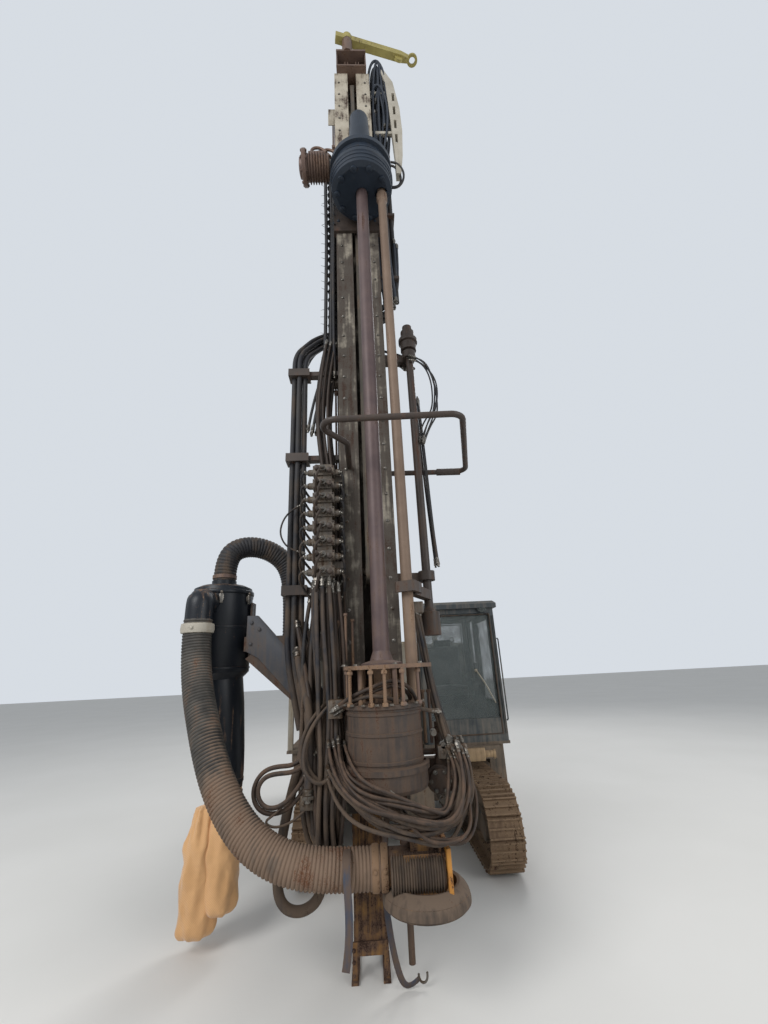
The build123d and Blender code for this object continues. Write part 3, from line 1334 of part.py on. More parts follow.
def cab_shell():
    wall_top = CAB_TOP - CAB_ROOF
    shell = block(CAB_LEFT_X, CAB_RIGHT_X, CAB_FRONT_Y, CAB_REAR_Y, DECK_TOP, wall_top)
    shell = fillet(shell.edges().filter_by(Axis.Z), 45.0)
    shell = shell - block(CAB_LEFT_X + CAB_WALL, CAB_RIGHT_X - CAB_WALL, CAB_FRONT_Y + CAB_WALL,
                          CAB_REAR_Y - CAB_WALL, DECK_TOP + CAB_WALL, wall_top + 5)
    x0, x1, z0, z1 = FRONT_WINDOW
    shell = shell - block(x0, x1, CAB_FRONT_Y - 5, CAB_FRONT_Y + CAB_WALL + 5, z0, z1)
    x0, x1, z0, z1 = REAR_WINDOW
    shell = shell - block(x0, x1, CAB_REAR_Y - CAB_WALL - 5, CAB_REAR_Y + 5, z0, z1)
    y0, y1, z0, z1 = LEFT_WINDOW
    shell = shell - block(CAB_LEFT_X - 5, CAB_LEFT_X + CAB_WALL + 5, y0, y1, z0, z1)
    y0, y1, z0, z1 = RIGHT_WINDOW
    shell = shell - block(CAB_RIGHT_X - CAB_WALL - 5, CAB_RIGHT_X + 5, y0, y1, z0, z1)
    return shell - block(CAB_RIGHT_X - CAB_WALL - 5, CAB_RIGHT_X + 5, DOOR_FRONT_Y, DOOR_REAR_Y,
                         DECK_TOP + CAB_WALL + 20, WINDOW_TOP + 10)


nodes["cab_shell"] = cab_shell()


def cab_roof():
    roof = block(CAB_LEFT_X - 25, CAB_RIGHT_X + 25, CAB_FRONT_Y - 60, CAB_REAR_Y + 25,
                 CAB_TOP - CAB_ROOF, CAB_TOP)
    return chamfer(roof.edges().group_by(Axis.Z)[-1], 35.0)


nodes["cab_roof"] = cab_roof()


def cab_glass():
    x0, x1, z0, z1 = FRONT_WINDOW
    middle = CAB_WALL / 2
    panes = [block(x0, x1, CAB_FRONT_Y + middle, CAB_FRONT_Y + middle + GLASS, z0, z1)]
    x0, x1, z0, z1 = REAR_WINDOW
    panes.append(block(x0, x1, CAB_REAR_Y - middle, CAB_REAR_Y - middle + GLASS, z0, z1))
    y0, y1, z0, z1 = LEFT_WINDOW
    panes.append(block(CAB_LEFT_X + middle, CAB_LEFT_X + middle + GLASS, y0, y1, z0, z1))
    y0, y1, z0, z1 = RIGHT_WINDOW
    panes.append(block(CAB_RIGHT_X - middle, CAB_RIGHT_X - middle + GLASS, y0, y1, z0, z1))
    return separate(panes)


nodes["cab_glass"] = cab_glass()

DOOR_HINGE_X = CAB_RIGHT_X + 14.0
DOOR_WINDOW = (DOOR_FRONT_Y + 75, DOOR_REAR_Y - 75, CAB_SILL - 200, WINDOW_TOP - 60)


def cab_door():
    low = DECK_TOP + CAB_WALL + 20 + DOOR_GAP
    high = WINDOW_TOP + 10 - DOOR_GAP
    door = block(CAB_RIGHT_X - CAB_WALL, CAB_RIGHT_X, DOOR_FRONT_Y + DOOR_GAP, DOOR_REAR_Y - DOOR_GAP,
                 low, high)
    y0, y1, z0, z1 = DOOR_WINDOW
    door = door - block(CAB_RIGHT_X - CAB_WALL - 5, CAB_RIGHT_X + 5, y0, y1, z0, z1)
    knuckles = []
    for z in (low + 120, high - 200):
        knuckle = upright(DOOR_HINGE_X, DOOR_REAR_Y + 8, z, z + 80, 14)
        leaf = block(CAB_RIGHT_X, DOOR_HINGE_X + 6, DOOR_REAR_Y - 70, DOOR_REAR_Y + 8, z, z + 80)
        knuckles.append(leaf + knuckle
                        - upright(DOOR_HINGE_X, DOOR_REAR_Y + 8, z - 5, z + 85, 6 + PIN_FIT))
    handle = block(CAB_RIGHT_X, CAB_RIGHT_X + 30, DOOR_FRONT_Y + 25, DOOR_FRONT_Y + 55, 1600.0, 1760.0)
    return joined([door] + knuckles + [handle])


nodes["cab_door"] = cab_door()
nodes["door_glass"] = block(CAB_RIGHT_X - CAB_WALL / 2, CAB_RIGHT_X - CAB_WALL / 2 + GLASS, *DOOR_WINDOW)


def door_hinges():
    low = DECK_TOP + CAB_WALL + 20 + DOOR_GAP
    high = WINDOW_TOP + 10 - DOOR_GAP
    pieces = []
    for z in (low + 120, high - 200):
        pin = upright(DOOR_HINGE_X, DOOR_REAR_Y + 8, z - 26, z + 106, 6)
        for z0 in (z - 26, z + 80 + GAP):
            pin = pin + block(CAB_RIGHT_X, DOOR_HINGE_X + 12, DOOR_REAR_Y - 4, DOOR_REAR_Y + 50,
                              z0, z0 + 26 - GAP)
        pieces.append(pin)
    return pieces


def cab_seat():
    y = CAB_FRONT_Y + 700
    floor = DECK_TOP + CAB_WALL
    base = block(CAB_MIDDLE_X - 180, CAB_MIDDLE_X + 180, y + 40, y + 420, floor, floor + 300)
    cushion = block(CAB_MIDDLE_X - 250, CAB_MIDDLE_X + 250, y, y + 500, floor + 300, floor + 430)
    back = side_plate([
        (y + 440, floor + 400),
        (y + 560, floor + 400),
        (y + 660, floor + 980),
        (y + 560, floor + 1000),
    ], CAB_MIDDLE_X - 235, CAB_MIDDLE_X + 235)
    rest = side_plate([
        (y + 580, floor + 970),
        (y + 640, floor + 970),
        (y + 670, floor + 1180),
        (y + 590, floor + 1190),
    ], CAB_MIDDLE_X - 130, CAB_MIDDLE_X + 130)
    return joined([base, cushion, back, rest])


def cab_console():
    floor = DECK_TOP + CAB_WALL
    y = CAB_FRONT_Y + 620
    pieces = []
    for x in (CAB_LEFT_X + CAB_WALL + 20, CAB_RIGHT_X - CAB_WALL - 190):
        desk = side_plate([
            (y, floor),
            (y + 520, floor),
            (y + 520, floor + 560),
            (y + 60, floor + 640),
            (y - 60, floor + 560),
        ], x, x + 150)
        stick = bar((x + 75, y + 60, floor + 600), (x + 75, y + 30, floor + 780), 14)
        knob = bar((x + 75, y + 33, floor + 760), (x + 75, y + 20, floor + 840), 26)
        pieces.append(desk + stick + knob)
    return pieces


nodes["cab_inside"] = separate([cab_seat()] + cab_console())


# Engine house: hollow sheet housing with side doors, grille and engine
HOUSE_FRONT_Y = 2350.0
HOUSE_WIDE_Y = CAB_REAR_Y + HOUSE_CAB_GAP
HOUSE_LEFT_X = -400.0
HOUSE_RIGHT_X = 560.0
SERVICE_LOW = DECK_TOP + 160
SERVICE_HIGH = HOUSE_TOP - 220
SERVICE_FRONT = HOUSE_WIDE_Y + 160
SERVICE_REAR = DECK_REAR_Y - 190


def house_plan(inset):
    return [
        (HOUSE_LEFT_X + inset, HOUSE_FRONT_Y + inset),
        (HOUSE_RIGHT_X - inset, HOUSE_FRONT_Y + inset),
        (HOUSE_RIGHT_X - inset, HOUSE_WIDE_Y + inset),
        (CAB_RIGHT_X - 60 - inset, HOUSE_WIDE_Y + inset),
        (CAB_RIGHT_X - 60 - inset, DECK_REAR_Y - inset),
        (DECK_LEFT_X + inset, DECK_REAR_Y - inset),
        (DECK_LEFT_X + inset, HOUSE_WIDE_Y + inset),
        (HOUSE_LEFT_X + inset, HOUSE_WIDE_Y + inset),
    ]


GRILLE_X = (-420.0, 900.0)
GRILLE_Z = (DECK_TOP + 220, HOUSE_TOP - 180)


def engine_house():
    house = plan_plate(house_plan(0.0), DECK_TOP, HOUSE_TOP)
    house = chamfer(house.edges().group_by(Axis.Z)[-1], 40.0)
    house = house - plan_plate(house_plan(HOUSE_WALL), DECK_TOP - 5, HOUSE_TOP - 60)
    for x in (DECK_LEFT_X, CAB_RIGHT_X - 60):
        house = house - block(x - 20, x + 20, SERVICE_FRONT, SERVICE_REAR, SERVICE_LOW, SERVICE_HIGH)
    return house - block(*GRILLE_X, DECK_REAR_Y - 30, DECK_REAR_Y + 5, *GRILLE_Z)


def rear_grille():
    x0, x1 = GRILLE_X
    z0, z1 = GRILLE_Z
    frame = block(x0, x1, DECK_REAR_Y - HOUSE_WALL, DECK_REAR_Y, z0, z1)
    frame = frame - block(x0 + 30, x1 - 30, DECK_REAR_Y - 20, DECK_REAR_Y + 5, z0 + 30, z1 - 30)
    pieces = [frame]
    count = 12
    step = (z1 - z0 - 60) / count
    for index in range(count):
        z = z0 + 30 + step * index
        pieces.append(side_plate([
            (DECK_REAR_Y - HOUSE_WALL, z + step * 0.75),
            (DECK_REAR_Y - HOUSE_WALL, z + step * 0.75 + 8),
            (DECK_REAR_Y, z + step * 0.3 + 8),
            (DECK_REAR_Y, z + step * 0.3),
        ], x0 + 25, x1 - 25))
    for x in (x0 + 420, x1 - 440):
        pieces.append(block(x, x + 20, DECK_REAR_Y - HOUSE_WALL, DECK_REAR_Y, z0, z1))
    return joined(pieces)


def exhaust():
    return turned(1150.0, 4150.0, [
        (0, HOUSE_TOP),
        (70, HOUSE_TOP),
        (70, HOUSE_TOP + 30),
        (48, HOUSE_TOP + 40),
        (48, HOUSE_TOP + 470),
        (0, HOUSE_TOP + 470),
    ])


nodes["engine_house"] = engine_house() + rear_grille() + exhaust()


def service_door(side):
    """Sheet door of the engine house, hinged at its front edge on a pin outside the wall."""
    wall = DECK_LEFT_X if side < 0 else CAB_RIGHT_X - 60
    inner = wall - side * HOUSE_WALL
    x0, x1 = min(wall, inner), max(wall, inner)
    door = block(x0, x1, SERVICE_FRONT + DOOR_GAP, SERVICE_REAR - DOOR_GAP,
                 SERVICE_LOW + DOOR_GAP, SERVICE_HIGH - DOOR_GAP)
    for index in range(7):
        z = SERVICE_LOW + 260 + index * 70
        low, high = sorted((wall - side * 2, wall + side * 10))
        door = door + block(low, high, SERVICE_FRONT + 260, SERVICE_REAR - 220, z, z + 26)
    hinge = wall + side * SERVICE_HINGE_OUT
    for z in SERVICE_HINGES:
        low, high = sorted((wall, hinge + side * 4))
        leaf = block(low, high, SERVICE_FRONT - 6, SERVICE_FRONT + 60, z, z + 70)
        leaf = leaf + upright(hinge, SERVICE_FRONT - 6, z, z + 70, 12)
        door = door + (leaf - upright(hinge, SERVICE_FRONT - 6, z - 5, z + 75, 6 + PIN_FIT))
    return door


def service_hinge(side):
    wall = DECK_LEFT_X if side < 0 else CAB_RIGHT_X - 60
    hinge = wall + side * SERVICE_HINGE_OUT
    pieces = []
    for z in SERVICE_HINGES:
        pin = upright(hinge, SERVICE_FRONT - 6, z - 22, z + 92, 6)
        for z0 in (z - 22, z + 70 + GAP):
            low, high = sorted((wall, hinge + side * 10))
            pin = pin + block(low, high, SERVICE_FRONT - 60, SERVICE_FRONT + 2, z0, z0 + 22 - GAP)
        pieces.append(pin)
    return pieces


SERVICE_HINGE_OUT = 14.0
SERVICE_HINGES = (SERVICE_LOW + 120, SERVICE_HIGH - 220)
nodes["service_door_left"] = service_door(-1)
nodes["service_door_right"] = service_door(1)
nodes["door_hinges"] = separate(door_hinges() + service_hinge(-1) + service_hinge(1))


def engine_block():
    floor = DECK_TOP
    body = block(-60.0, 640.0, 3620.0, 4680.0, floor, floor + 620)
    head = block(60.0, 520.0, 3680.0, 4600.0, floor + 620, floor + 860)
    return body + head


nodes["engine"] = engine_block()


# Dust collector on the left of the deck, with two hoppers and the inlet at the boom's foot axis
def dust_collector():
    left, right = DECK_LEFT_X, -470.0
    front, rear = 2060.0, HOUSE_WIDE_Y - 20
    box = block(left, right, front, rear, 1650.0, COLLECTOR_TOP)
    box = chamfer(box.edges().group_by(Axis.Z)[-1], 30.0)
    pieces = [box]
    half = (rear - front) / 2
    for index in range(2):
        y = front + half * (index + 0.5)
        top = Pos((left + right) / 2, y, 1650.0) * Rectangle(right - left, half)
        low = Pos((left + right) / 2, y, 1180.0) * Rectangle(200, 200)
        pieces.append(loft([top, low]))
        pieces.append(upright((left + right) / 2, y, DECK_TOP, 1185.0, 90))
    for x in (left, right - 60):
        for y in (front, rear - 60):
            pieces.append(block(x, x + 60, y, y + 60, DECK_TOP, 1660.0))
    return joined(pieces)


INLET_ROUTE = [
    (-561.0, BOOM_FOOT_Y, BOOM_FOOT_Z),
    (-760.0, BOOM_FOOT_Y, BOOM_FOOT_Z),
    (-760.0, BOOM_FOOT_Y, 1800.0),
    (-760.0, 2060.0, 1800.0),
]
nodes["dust_collector"] = dust_collector() + piped(INLET_ROUTE, [120.0, 120.0], DUCT_RADIUS)


# Free pieces such as cords are left out of the box that sets the origin
CORD_NODES = ()


def whole_box():
    corners = []
    for name, shape in nodes.items():
        if name not in CORD_NODES:
            box = shape.bounding_box()
            corners.append((box.min, box.max))
    low = [min(getattr(pair[0], axis) for pair in corners) for axis in "XYZ"]
    high = [max(getattr(pair[1], axis) for pair in corners) for axis in "XYZ"]
    return low, high


LOW, HIGH = whole_box()
HOME = Vector(-(LOW[0] + HIGH[0]) / 2, -(LOW[1] + HIGH[1]) / 2, -LOW[2])

for name, shape in nodes.items():
    export_step(Pos(*HOME) * shape, f"parts/{name}.step")
print("home", tuple(round(value, 3) for value in HOME), "box", LOW, HIGH)
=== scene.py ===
"""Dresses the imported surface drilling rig: finishes, hoses, fittings, cloth, floor, lamps and camera."""

import logging
import math
import random
from collections.abc import Callable, Iterator
from contextlib import contextmanager
from dataclasses import dataclass, field
from enum import Enum

import bpy
from mathutils import Matrix, Vector


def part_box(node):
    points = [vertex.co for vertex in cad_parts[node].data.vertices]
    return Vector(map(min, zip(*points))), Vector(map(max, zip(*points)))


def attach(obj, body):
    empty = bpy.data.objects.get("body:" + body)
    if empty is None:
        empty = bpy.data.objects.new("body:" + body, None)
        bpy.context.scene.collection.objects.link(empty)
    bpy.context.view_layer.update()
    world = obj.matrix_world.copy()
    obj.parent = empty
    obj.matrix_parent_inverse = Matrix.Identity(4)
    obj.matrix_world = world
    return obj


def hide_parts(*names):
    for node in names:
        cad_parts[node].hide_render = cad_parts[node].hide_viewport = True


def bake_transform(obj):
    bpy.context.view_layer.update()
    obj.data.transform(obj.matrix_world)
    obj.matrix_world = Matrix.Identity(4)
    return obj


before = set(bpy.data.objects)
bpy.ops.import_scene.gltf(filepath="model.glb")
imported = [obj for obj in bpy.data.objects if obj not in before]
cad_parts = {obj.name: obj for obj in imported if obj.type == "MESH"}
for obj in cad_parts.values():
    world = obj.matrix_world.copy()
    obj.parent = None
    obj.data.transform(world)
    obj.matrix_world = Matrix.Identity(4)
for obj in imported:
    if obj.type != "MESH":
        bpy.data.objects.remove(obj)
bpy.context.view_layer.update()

LOG = logging.getLogger("drilling_rig")
HOME = Vector((0.010, -1.8994, 0.0))
MM = 0.001
# Bevel resolution of hoses and tubes, which gives them ten sides
HOSE_BEVEL = 3
# Upright axes in the rig's own drawing, in metres
ROD_X, ROD_Y = 0.281, -0.55
DRUM_X, DRUM_Y = 0.064, -0.55
CYCLONE_X, CYCLONE_Y = -1.39, 0.34
INLET_X, INLET_Y = -1.44, -0.09
SACK_X = -1.235
# Heights of the valve sections
VALVE_ROWS = tuple(2.694 + 0.128 * index for index in range(8))
Point = tuple[float, float, float]
Profile = list[tuple[float, float]]
Piece = bpy.types.Object
Socket = bpy.types.NodeSocket


class Body(str, Enum):
    """The moving groups of the rig that new pieces ride on."""

    CHASSIS = "root"
    MAST = "mast"
    HEAD = "head"
    HOOD = "hood"
    FOOT = "foot"
    JIB = "jib"


class Way(Enum):
    """The direction that a turned piece or a bolt points."""

    UP = Vector((0, 0, 1))
    DOWN = Vector((0, 0, -1))
    LEFT = Vector((-1, 0, 0))
    RIGHT = Vector((1, 0, 0))
    FRONT = Vector((0, -1, 0))
    BACK = Vector((0, 1, 0))


Places = list[tuple[Point, Way | Vector]]


def spot(x: float, y: float, z: float) -> Vector:
    """Places a point of the rig's own drawing in the shared frame.

    Args:
        x: Metres to the right of the mast's centre line.
        y: Metres behind the mast's axis.
        z: Metres above the ground.

    Returns:
        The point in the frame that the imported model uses.
    """
    return Vector((x, y, z)) + HOME


def own_box(name: str) -> tuple[Vector, Vector]:
    """Gives the lowest and highest corners of a CAD piece in the rig's own drawing."""
    low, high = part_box(name)
    return Vector(low) - HOME, Vector(high) - HOME


def circle(x: float, y: float, radius: float, count: int, start: float = 0.0) -> Profile:
    """Gives evenly spaced points on a circle, from an angle in degrees."""
    angles = [math.radians(start + 360 / count * index) for index in range(count)]
    return [(x + radius * math.cos(a), y + radius * math.sin(a)) for a in angles]


def band(inner: float, outer: float, height: float, edge: float) -> Profile:
    """Gives the profile of a flat band with soft edges, from its radii and its height."""
    return [(inner, 0), (outer, edge), (outer, height - edge), (inner, height)]


def linear(code: str) -> tuple[float, float, float, float]:
    """Turns an sRGB hex code into the linear colour that shaders take.

    Args:
        code: A colour such as "#a08050".

    Returns:
        Red, green, blue and an alpha of one.
    """
    parts = [int(code[i:i + 2], 16) / 255 for i in (1, 3, 5)]
    return tuple(v / 12.92 if v <= 0.04045 else ((v + 0.055) / 1.055) ** 2.4 for v in parts) + (1.0,)


def fill(node: bpy.types.Node, sockets: dict) -> None:
    """Gives values to the input sockets of a node, or links other nodes' outputs to them."""
    for key, value in sockets.items():
        if isinstance(value, Socket):
            node.id_data.links.new(value, node.inputs[key])
        else:
            node.inputs[key].default_value = value


def add_node(tree: bpy.types.NodeTree, kind: str, sockets: dict | None = None, **settings) -> bpy.types.Node:
    """Adds a shader node, with its settings, and fills or links its input sockets.

    Args:
        tree: The node tree of the material.
        kind: The node's type without its ShaderNode prefix.
        sockets: Values or output sockets by input name or index.
        **settings: Properties of the node itself.

    Returns:
        The new node.
    """
    node = tree.nodes.new("ShaderNode" + kind)
    for key, value in settings.items():
        setattr(node, key, value)
    fill(node, sockets or {})
    return node


class Recipe:
    """A new material, and the few kinds of nodes that all the finishes are mixed from."""

    def __init__(self, name: str) -> None:
        """Starts a material that is laid out in the piece's own coordinates."""
        self.material = bpy.data.materials.new(name)
        self.material.use_nodes = True
        self.tree = self.material.node_tree
        self.place = self.node("TexCoord").outputs["Object"]

    def node(self, kind: str, sockets: dict | None = None, **settings) -> bpy.types.Node:
        """Adds a node of any kind."""
        return add_node(self.tree, kind, sockets, **settings)

    def noise(self, scale: float, detail: float, rough: float = 0.5,
              at: Socket | None = None) -> Socket:
        """Adds a cloudy noise, its scale in turns a metre."""
        return self.node("TexNoise", {"Vector": self.place if at is None else at, "Scale": scale,
                                      "Detail": detail, "Roughness": rough}).outputs["Fac"]

    def ranged(self, value: Socket, start: float = 0.0, end: float = 1.0, low: float = 0.0,
               high: float = 1.0) -> Socket:
        """Maps a value from one range to another and clamps it."""
        return self.node("MapRange", {"Value": value, "From Min": start, "From Max": end, "To Min": low,
                                      "To Max": high}).outputs[0]

    def mixed(self, share: Socket | float, first: Socket | str,
              second: Socket | str, **settings) -> Socket:
        """Mixes two colours, each a hex code or a node's output."""
        first, second = (linear(tone) if isinstance(tone, str) else tone for tone in (first, second))
        return self.node("Mix", {"Factor": share, "A": first, "B": second}, data_type="RGBA",
                         **settings).outputs["Result"]

    def total(self, *values: Socket) -> Socket:
        """Adds up several values."""
        result = values[0]
        for value in values[1:]:
            result = self.node("Math", {0: result, 1: value}, operation="ADD").outputs[0]
        return result

    def bump(self, height: Socket, strength: float, depth_mm: float) -> Socket:
        """Turns a pattern into relief."""
        return self.node("Bump", {"Height": height, "Strength": strength,
                                  "Distance": depth_mm * MM}).outputs[0]

    def done(self, sockets: dict) -> bpy.types.Material:
        """Fills the shader's sockets and gives the material."""
        fill(self.tree.nodes["Principled BSDF"], sockets)
        return self.material


@dataclass(frozen=True)
class Coat:
    """A painted, bare or rubber surface that has worked outdoors, with dirt, streaks and rust; on the mast
    the dark dirt colour, heavier low down, is also painted shade.

    Sizes of the patterns are real ones in millimetres.
    """

    name: str
    base: str
    worn: str
    # Colour of the dirt; on the mast it is also the colour of painted shade
    dirt_and_shade: str = "#7b6c5a"
    rust: str = "#4d2f20"
    dirt_and_shade_share: float = 0.5
    rust_share: float = 0.3
    # Extra dirt that grows from the first height down to the second; on the mast this is painted shade
    low_dirt_and_shade: float = 0.35
    clean_and_lit_height: float = 4.0
    dirty_and_shaded_height: float = 0.0
    cloud_mm: float = 320.0
    streak_mm: float = 34.0
    grain_mm: float = 7.0
    bump_mm: float = 0.8
    shine: float = 0.55
    metal: float = 0.0
    gloss: float = 0.28

    def build(self) -> bpy.types.Material:
        """Makes the material from its layers of colour, dirt and rust; on the mast the dirt layer is also
        painted shade on the lower beam.
        """
        mix = Recipe(self.name)
        cloud = mix.noise(1 / (self.cloud_mm * MM), 8.0, 0.66)
        across = 1 / (self.streak_mm * MM)
        stretched = mix.node("Mapping", {"Vector": mix.place, "Scale": (across, across, across / 15)})
        streak = mix.noise(1.0, 6.0, at=stretched.outputs[0])
        grain = mix.noise(1 / (self.grain_mm * MM), 4.0, 0.6)
        tone = mix.mixed(mix.ranged(cloud, 0.36, 0.64), self.base, self.worn)
        height = mix.node("SeparateXYZ", {0: mix.place}).outputs["Z"]
        # Darker towards the bottom: dirt on most finishes, painted shade on the lower mast
        low = mix.ranged(height, self.clean_and_lit_height, self.dirty_and_shaded_height, high=self.low_dirt_and_shade)
        normal = mix.node("NewGeometry").outputs["Normal"]
        facing = mix.node("SeparateXYZ", {0: normal}).outputs["Z"]
        heap = mix.total(cloud, streak, low, mix.ranged(facing, 0.2, high=0.3))
        start = 1.38 - 0.62 * self.dirt_and_shade_share
        soiled_and_shaded = mix.ranged(heap, start, start + 0.36, high=0.92)
        edge = 1.84 - 0.5 * self.rust_share
        rusted = mix.ranged(mix.total(streak, grain, cloud), edge, edge + 0.12)
        colour = mix.mixed(rusted, mix.mixed(soiled_and_shaded, tone, self.dirt_and_shade), self.rust)
        relief = mix.node("Math", {0: grain, 1: rusted}, operation="SUBTRACT").outputs[0]
        return mix.done({"Base Color": colour, "Roughness": mix.ranged(soiled_and_shaded, low=self.shine, high=0.92),
                         "Normal": mix.bump(relief, 0.5, self.bump_mm), "Metallic": self.metal,
                         "Specular IOR Level": self.gloss})


@dataclass(frozen=True)
class Pane:
    """Toughened window glass under a film of drilling dust."""

    name: str
    tint: str = "#6c7473"
    dust: str = "#575b58"
    film_mm: float = 160.0

    def build(self) -> bpy.types.Material:
        """Makes the glass, clear where it is clean and dull where the dust lies."""
        mix = Recipe(self.name)
        dusty = mix.ranged(mix.noise(1 / (self.film_mm * MM), 6.0), 0.4, 0.75, high=0.7)
        return mix.done({"Base Color": mix.mixed(dusty, self.tint, self.dust),
                         "Alpha": mix.ranged(dusty, low=0.3, high=0.72),
                         "Roughness": mix.ranged(dusty, low=0.06, high=0.4)})


@dataclass(frozen=True)
class Cloth:
    """Woven polypropylene sacking, stained by the cuttings that it holds."""

    name: str
    base: str
    stain: str
    thread_mm: float = 7.0
    stain_mm: float = 260.0

    def build(self) -> bpy.types.Material:
        """Makes the cloth: two crossed bands of thread, with painted shade between the threads and a painted
        highlight on them, a stain and soft light.
        """
        mix = Recipe(self.name)
        thread = {"Vector": mix.place, "Scale": 0.31 / (self.thread_mm * MM), "Distortion": 1.2}
        warp, weft = (mix.node("TexWave", thread, bands_direction=way).outputs["Fac"]
                      for way in ("DIAGONAL", "Z"))
        weave = mix.total(warp, weft)
        stained = mix.ranged(mix.noise(1 / (self.stain_mm * MM), 7.0), 0.44, 0.72, high=0.75)
        tone = mix.mixed(stained, self.base, self.stain)
        # The weave darkens the colour between the threads as painted shade and lifts it on them as a painted
        # highlight
        colour = mix.mixed(1.0, tone, mix.ranged(weave, 0.0, 2.0, 0.82, 1.05), blend_type="MULTIPLY")
        return mix.done({"Base Color": colour, "Normal": mix.bump(weave, 0.35, 0.6), "Roughness": 0.9,
                         "Sheen Weight": 0.3})


@dataclass(frozen=True)
class Plate:
    """Hard chrome on a ground piston rod: a bright metal with a faint oil film."""

    name: str
    base: str = "#c9ccce"

    def build(self) -> bpy.types.Material:
        """Makes the chrome with a slight unevenness in its gloss."""
        mix = Recipe(self.name)
        return mix.done({"Base Color": linear(self.base), "Metallic": 1.0,
                         "Roughness": mix.ranged(mix.noise(9.0, 4.0), low=0.08, high=0.34)})


Finish = Coat | Pane | Cloth | Plate

# Cast manganese steel shoes, dry earth in the hollows
TRACK_STEEL = Coat("cast_track_steel", "#5b483a", "#75604c", "#8a745d", "#3c2a20", 0.75, 0.45, 0.25,
                   cloud_mm=180, grain_mm=9, bump_mm=1.6, shine=0.7, metal=0.25)
# Rolled steel with a grey primer, greasy and dusty
CHASSIS_STEEL = Coat("primed_frame_steel", "#4a4640", "#5a534a", "#77695a", dirt_and_shade_share=0.6)
# Two-pack paint of the cab, satin under dust
CAB_PAINT = Coat("cab_enamel", "#33383b", "#43484a", "#6f6a62", dirt_and_shade_share=0.45, rust_share=0.05, shine=0.42,
                 bump_mm=0.3)
# Powder coat of the house, light grey and faded
HOUSE_PAINT = Coat("house_powder_coat", "#a8a296", "#979184", "#8a7d6a", dirt_and_shade_share=0.35, rust_share=0.12,
                   bump_mm=0.3)
# Sprayed enamel of the boom
BOOM_PAINT = Coat("boom_enamel", "#8d8474", "#7c7263", "#6f6252", dirt_and_shade_share=0.5)
# Sheet steel duct, dark
DUCT_PAINT = Coat("duct_enamel", "#3a3835", "#4b4740", "#6a5f50", dirt_and_shade_share=0.5)
# Cylinder tubes, enamel with a grease film
CYLINDER_PAINT = Coat("cylinder_enamel", "#5d564c", "#4c463d", "#6a5b49", dirt_and_shade_share=0.45, shine=0.42)
# Light enamel of the mast, chipped to rust in runs; its dark dirt colour gives real stains and, growing from
# 8.6 m down to 6.4 m, painted shade on the lower beam
MAST_PAINT = Coat("mast_enamel", "#a8a091", "#8d8475", "#3d3733", "#3a2a22", 0.5, 0.5, 0.5,
                  clean_and_lit_height=8.6, dirty_and_shaded_height=6.4, cloud_mm=260, streak_mm=42, bump_mm=0.6)
# Dark fittings of the mast, black with grease
BRACKET_PAINT = Coat("greasy_bracket_steel", "#37302c", "#443a34", "#58483c", "#452b20", 0.5, 0.4, 0.4,
                     shine=0.45)
# Drawn tube with a thin brown rust
WORN_STEEL = Coat("rusted_drawn_steel", "#5c4c46", "#6f5b4e", "#8a7058", "#4c3022", 0.4, 0.35, 0.55,
                  cloud_mm=420, streak_mm=26, shine=0.5, metal=0.3)
# Thick guide column, its grease gone grey-violet
COLUMN_STEEL = Coat("greased_column_steel", "#4d4040", "#5f504d", "#6d5b50", "#40291f", 0.4, 0.35, 0.35,
                    cloud_mm=420, streak_mm=26, shine=0.5, metal=0.2)
# Thin drill rod, dry and tan with dust
ROD_STEEL = Coat("dusty_rod_steel", "#6b5a4d", "#7a685a", "#8d7660", "#52382a", 0.45, 0.35, 0.4,
                 cloud_mm=380, streak_mm=24, shine=0.6, metal=0.2)
# Cast aluminium valve bodies under grease
VALVE_METAL = Coat("valve_casting", "#57504a", "#6f675d", "#594736", "#3a2a20", 0.55, 0.35, 0.3, cloud_mm=90,
                   streak_mm=20, shine=0.38, metal=0.35)
# Wire-braid hose with a rubber cover, dust on top
HOSE_RUBBER = Coat("hose_cover_rubber", "#26262a", "#33312f", "#5a4c40", "#3a2d26", 0.5, 0.15, 0.5,
                   cloud_mm=260, streak_mm=60, bump_mm=0.4, shine=0.6)
# Hose cover gone brown with oil and dust
HOSE_EARTH = Coat("oily_hose_rubber", "#3b3029", "#2b2521", "#5d4b3e", "#46301f", 0.42, 0.2, 0.25,
                  cloud_mm=200, streak_mm=50, bump_mm=0.4, shine=0.55)
# Textile-braid hose, blue-grey
HOSE_SLATE = Coat("braided_hose_rubber", "#2d323b", "#363a41", "#4d4744", "#30302f", 0.3, 0.1, 0.1,
                  cloud_mm=200, streak_mm=50, bump_mm=0.4, shine=0.6)
# Beige enamel of the pipe box under the cab
BOX_PAINT = Coat("beige_enamel", "#b49a78", "#a08766", "#7d6a54", dirt_and_shade_share=0.45, rust_share=0.15)
# Moulded rubber of the skirt, grey-brown with mud
SKIRT_RUBBER = Coat("moulded_skirt_rubber", "#463c35", "#38322d", "#66574a", dirt_and_shade_share=0.5, rust_share=0.05,
                    cloud_mm=140, bump_mm=0.8, shine=0.75)
# Spiral-wire suction hose, its cover grey with dust
SUCTION_RUBBER = Coat("suction_hose_rubber", "#353331", "#57544f", "#7a6656", "#5f3f2c", 0.42, 0.3, 0.7,
                      clean_and_lit_height=1.7, dirty_and_shaded_height=0.6, cloud_mm=300, streak_mm=120, bump_mm=0.5, shine=0.7)
# Dark grey enamel of the plate that carries the cyclone
CARRIER_PAINT = Coat("carrier_enamel", "#3b3d42", "#45464a", "#5b5149", dirt_and_shade_share=0.4, rust_share=0.15)
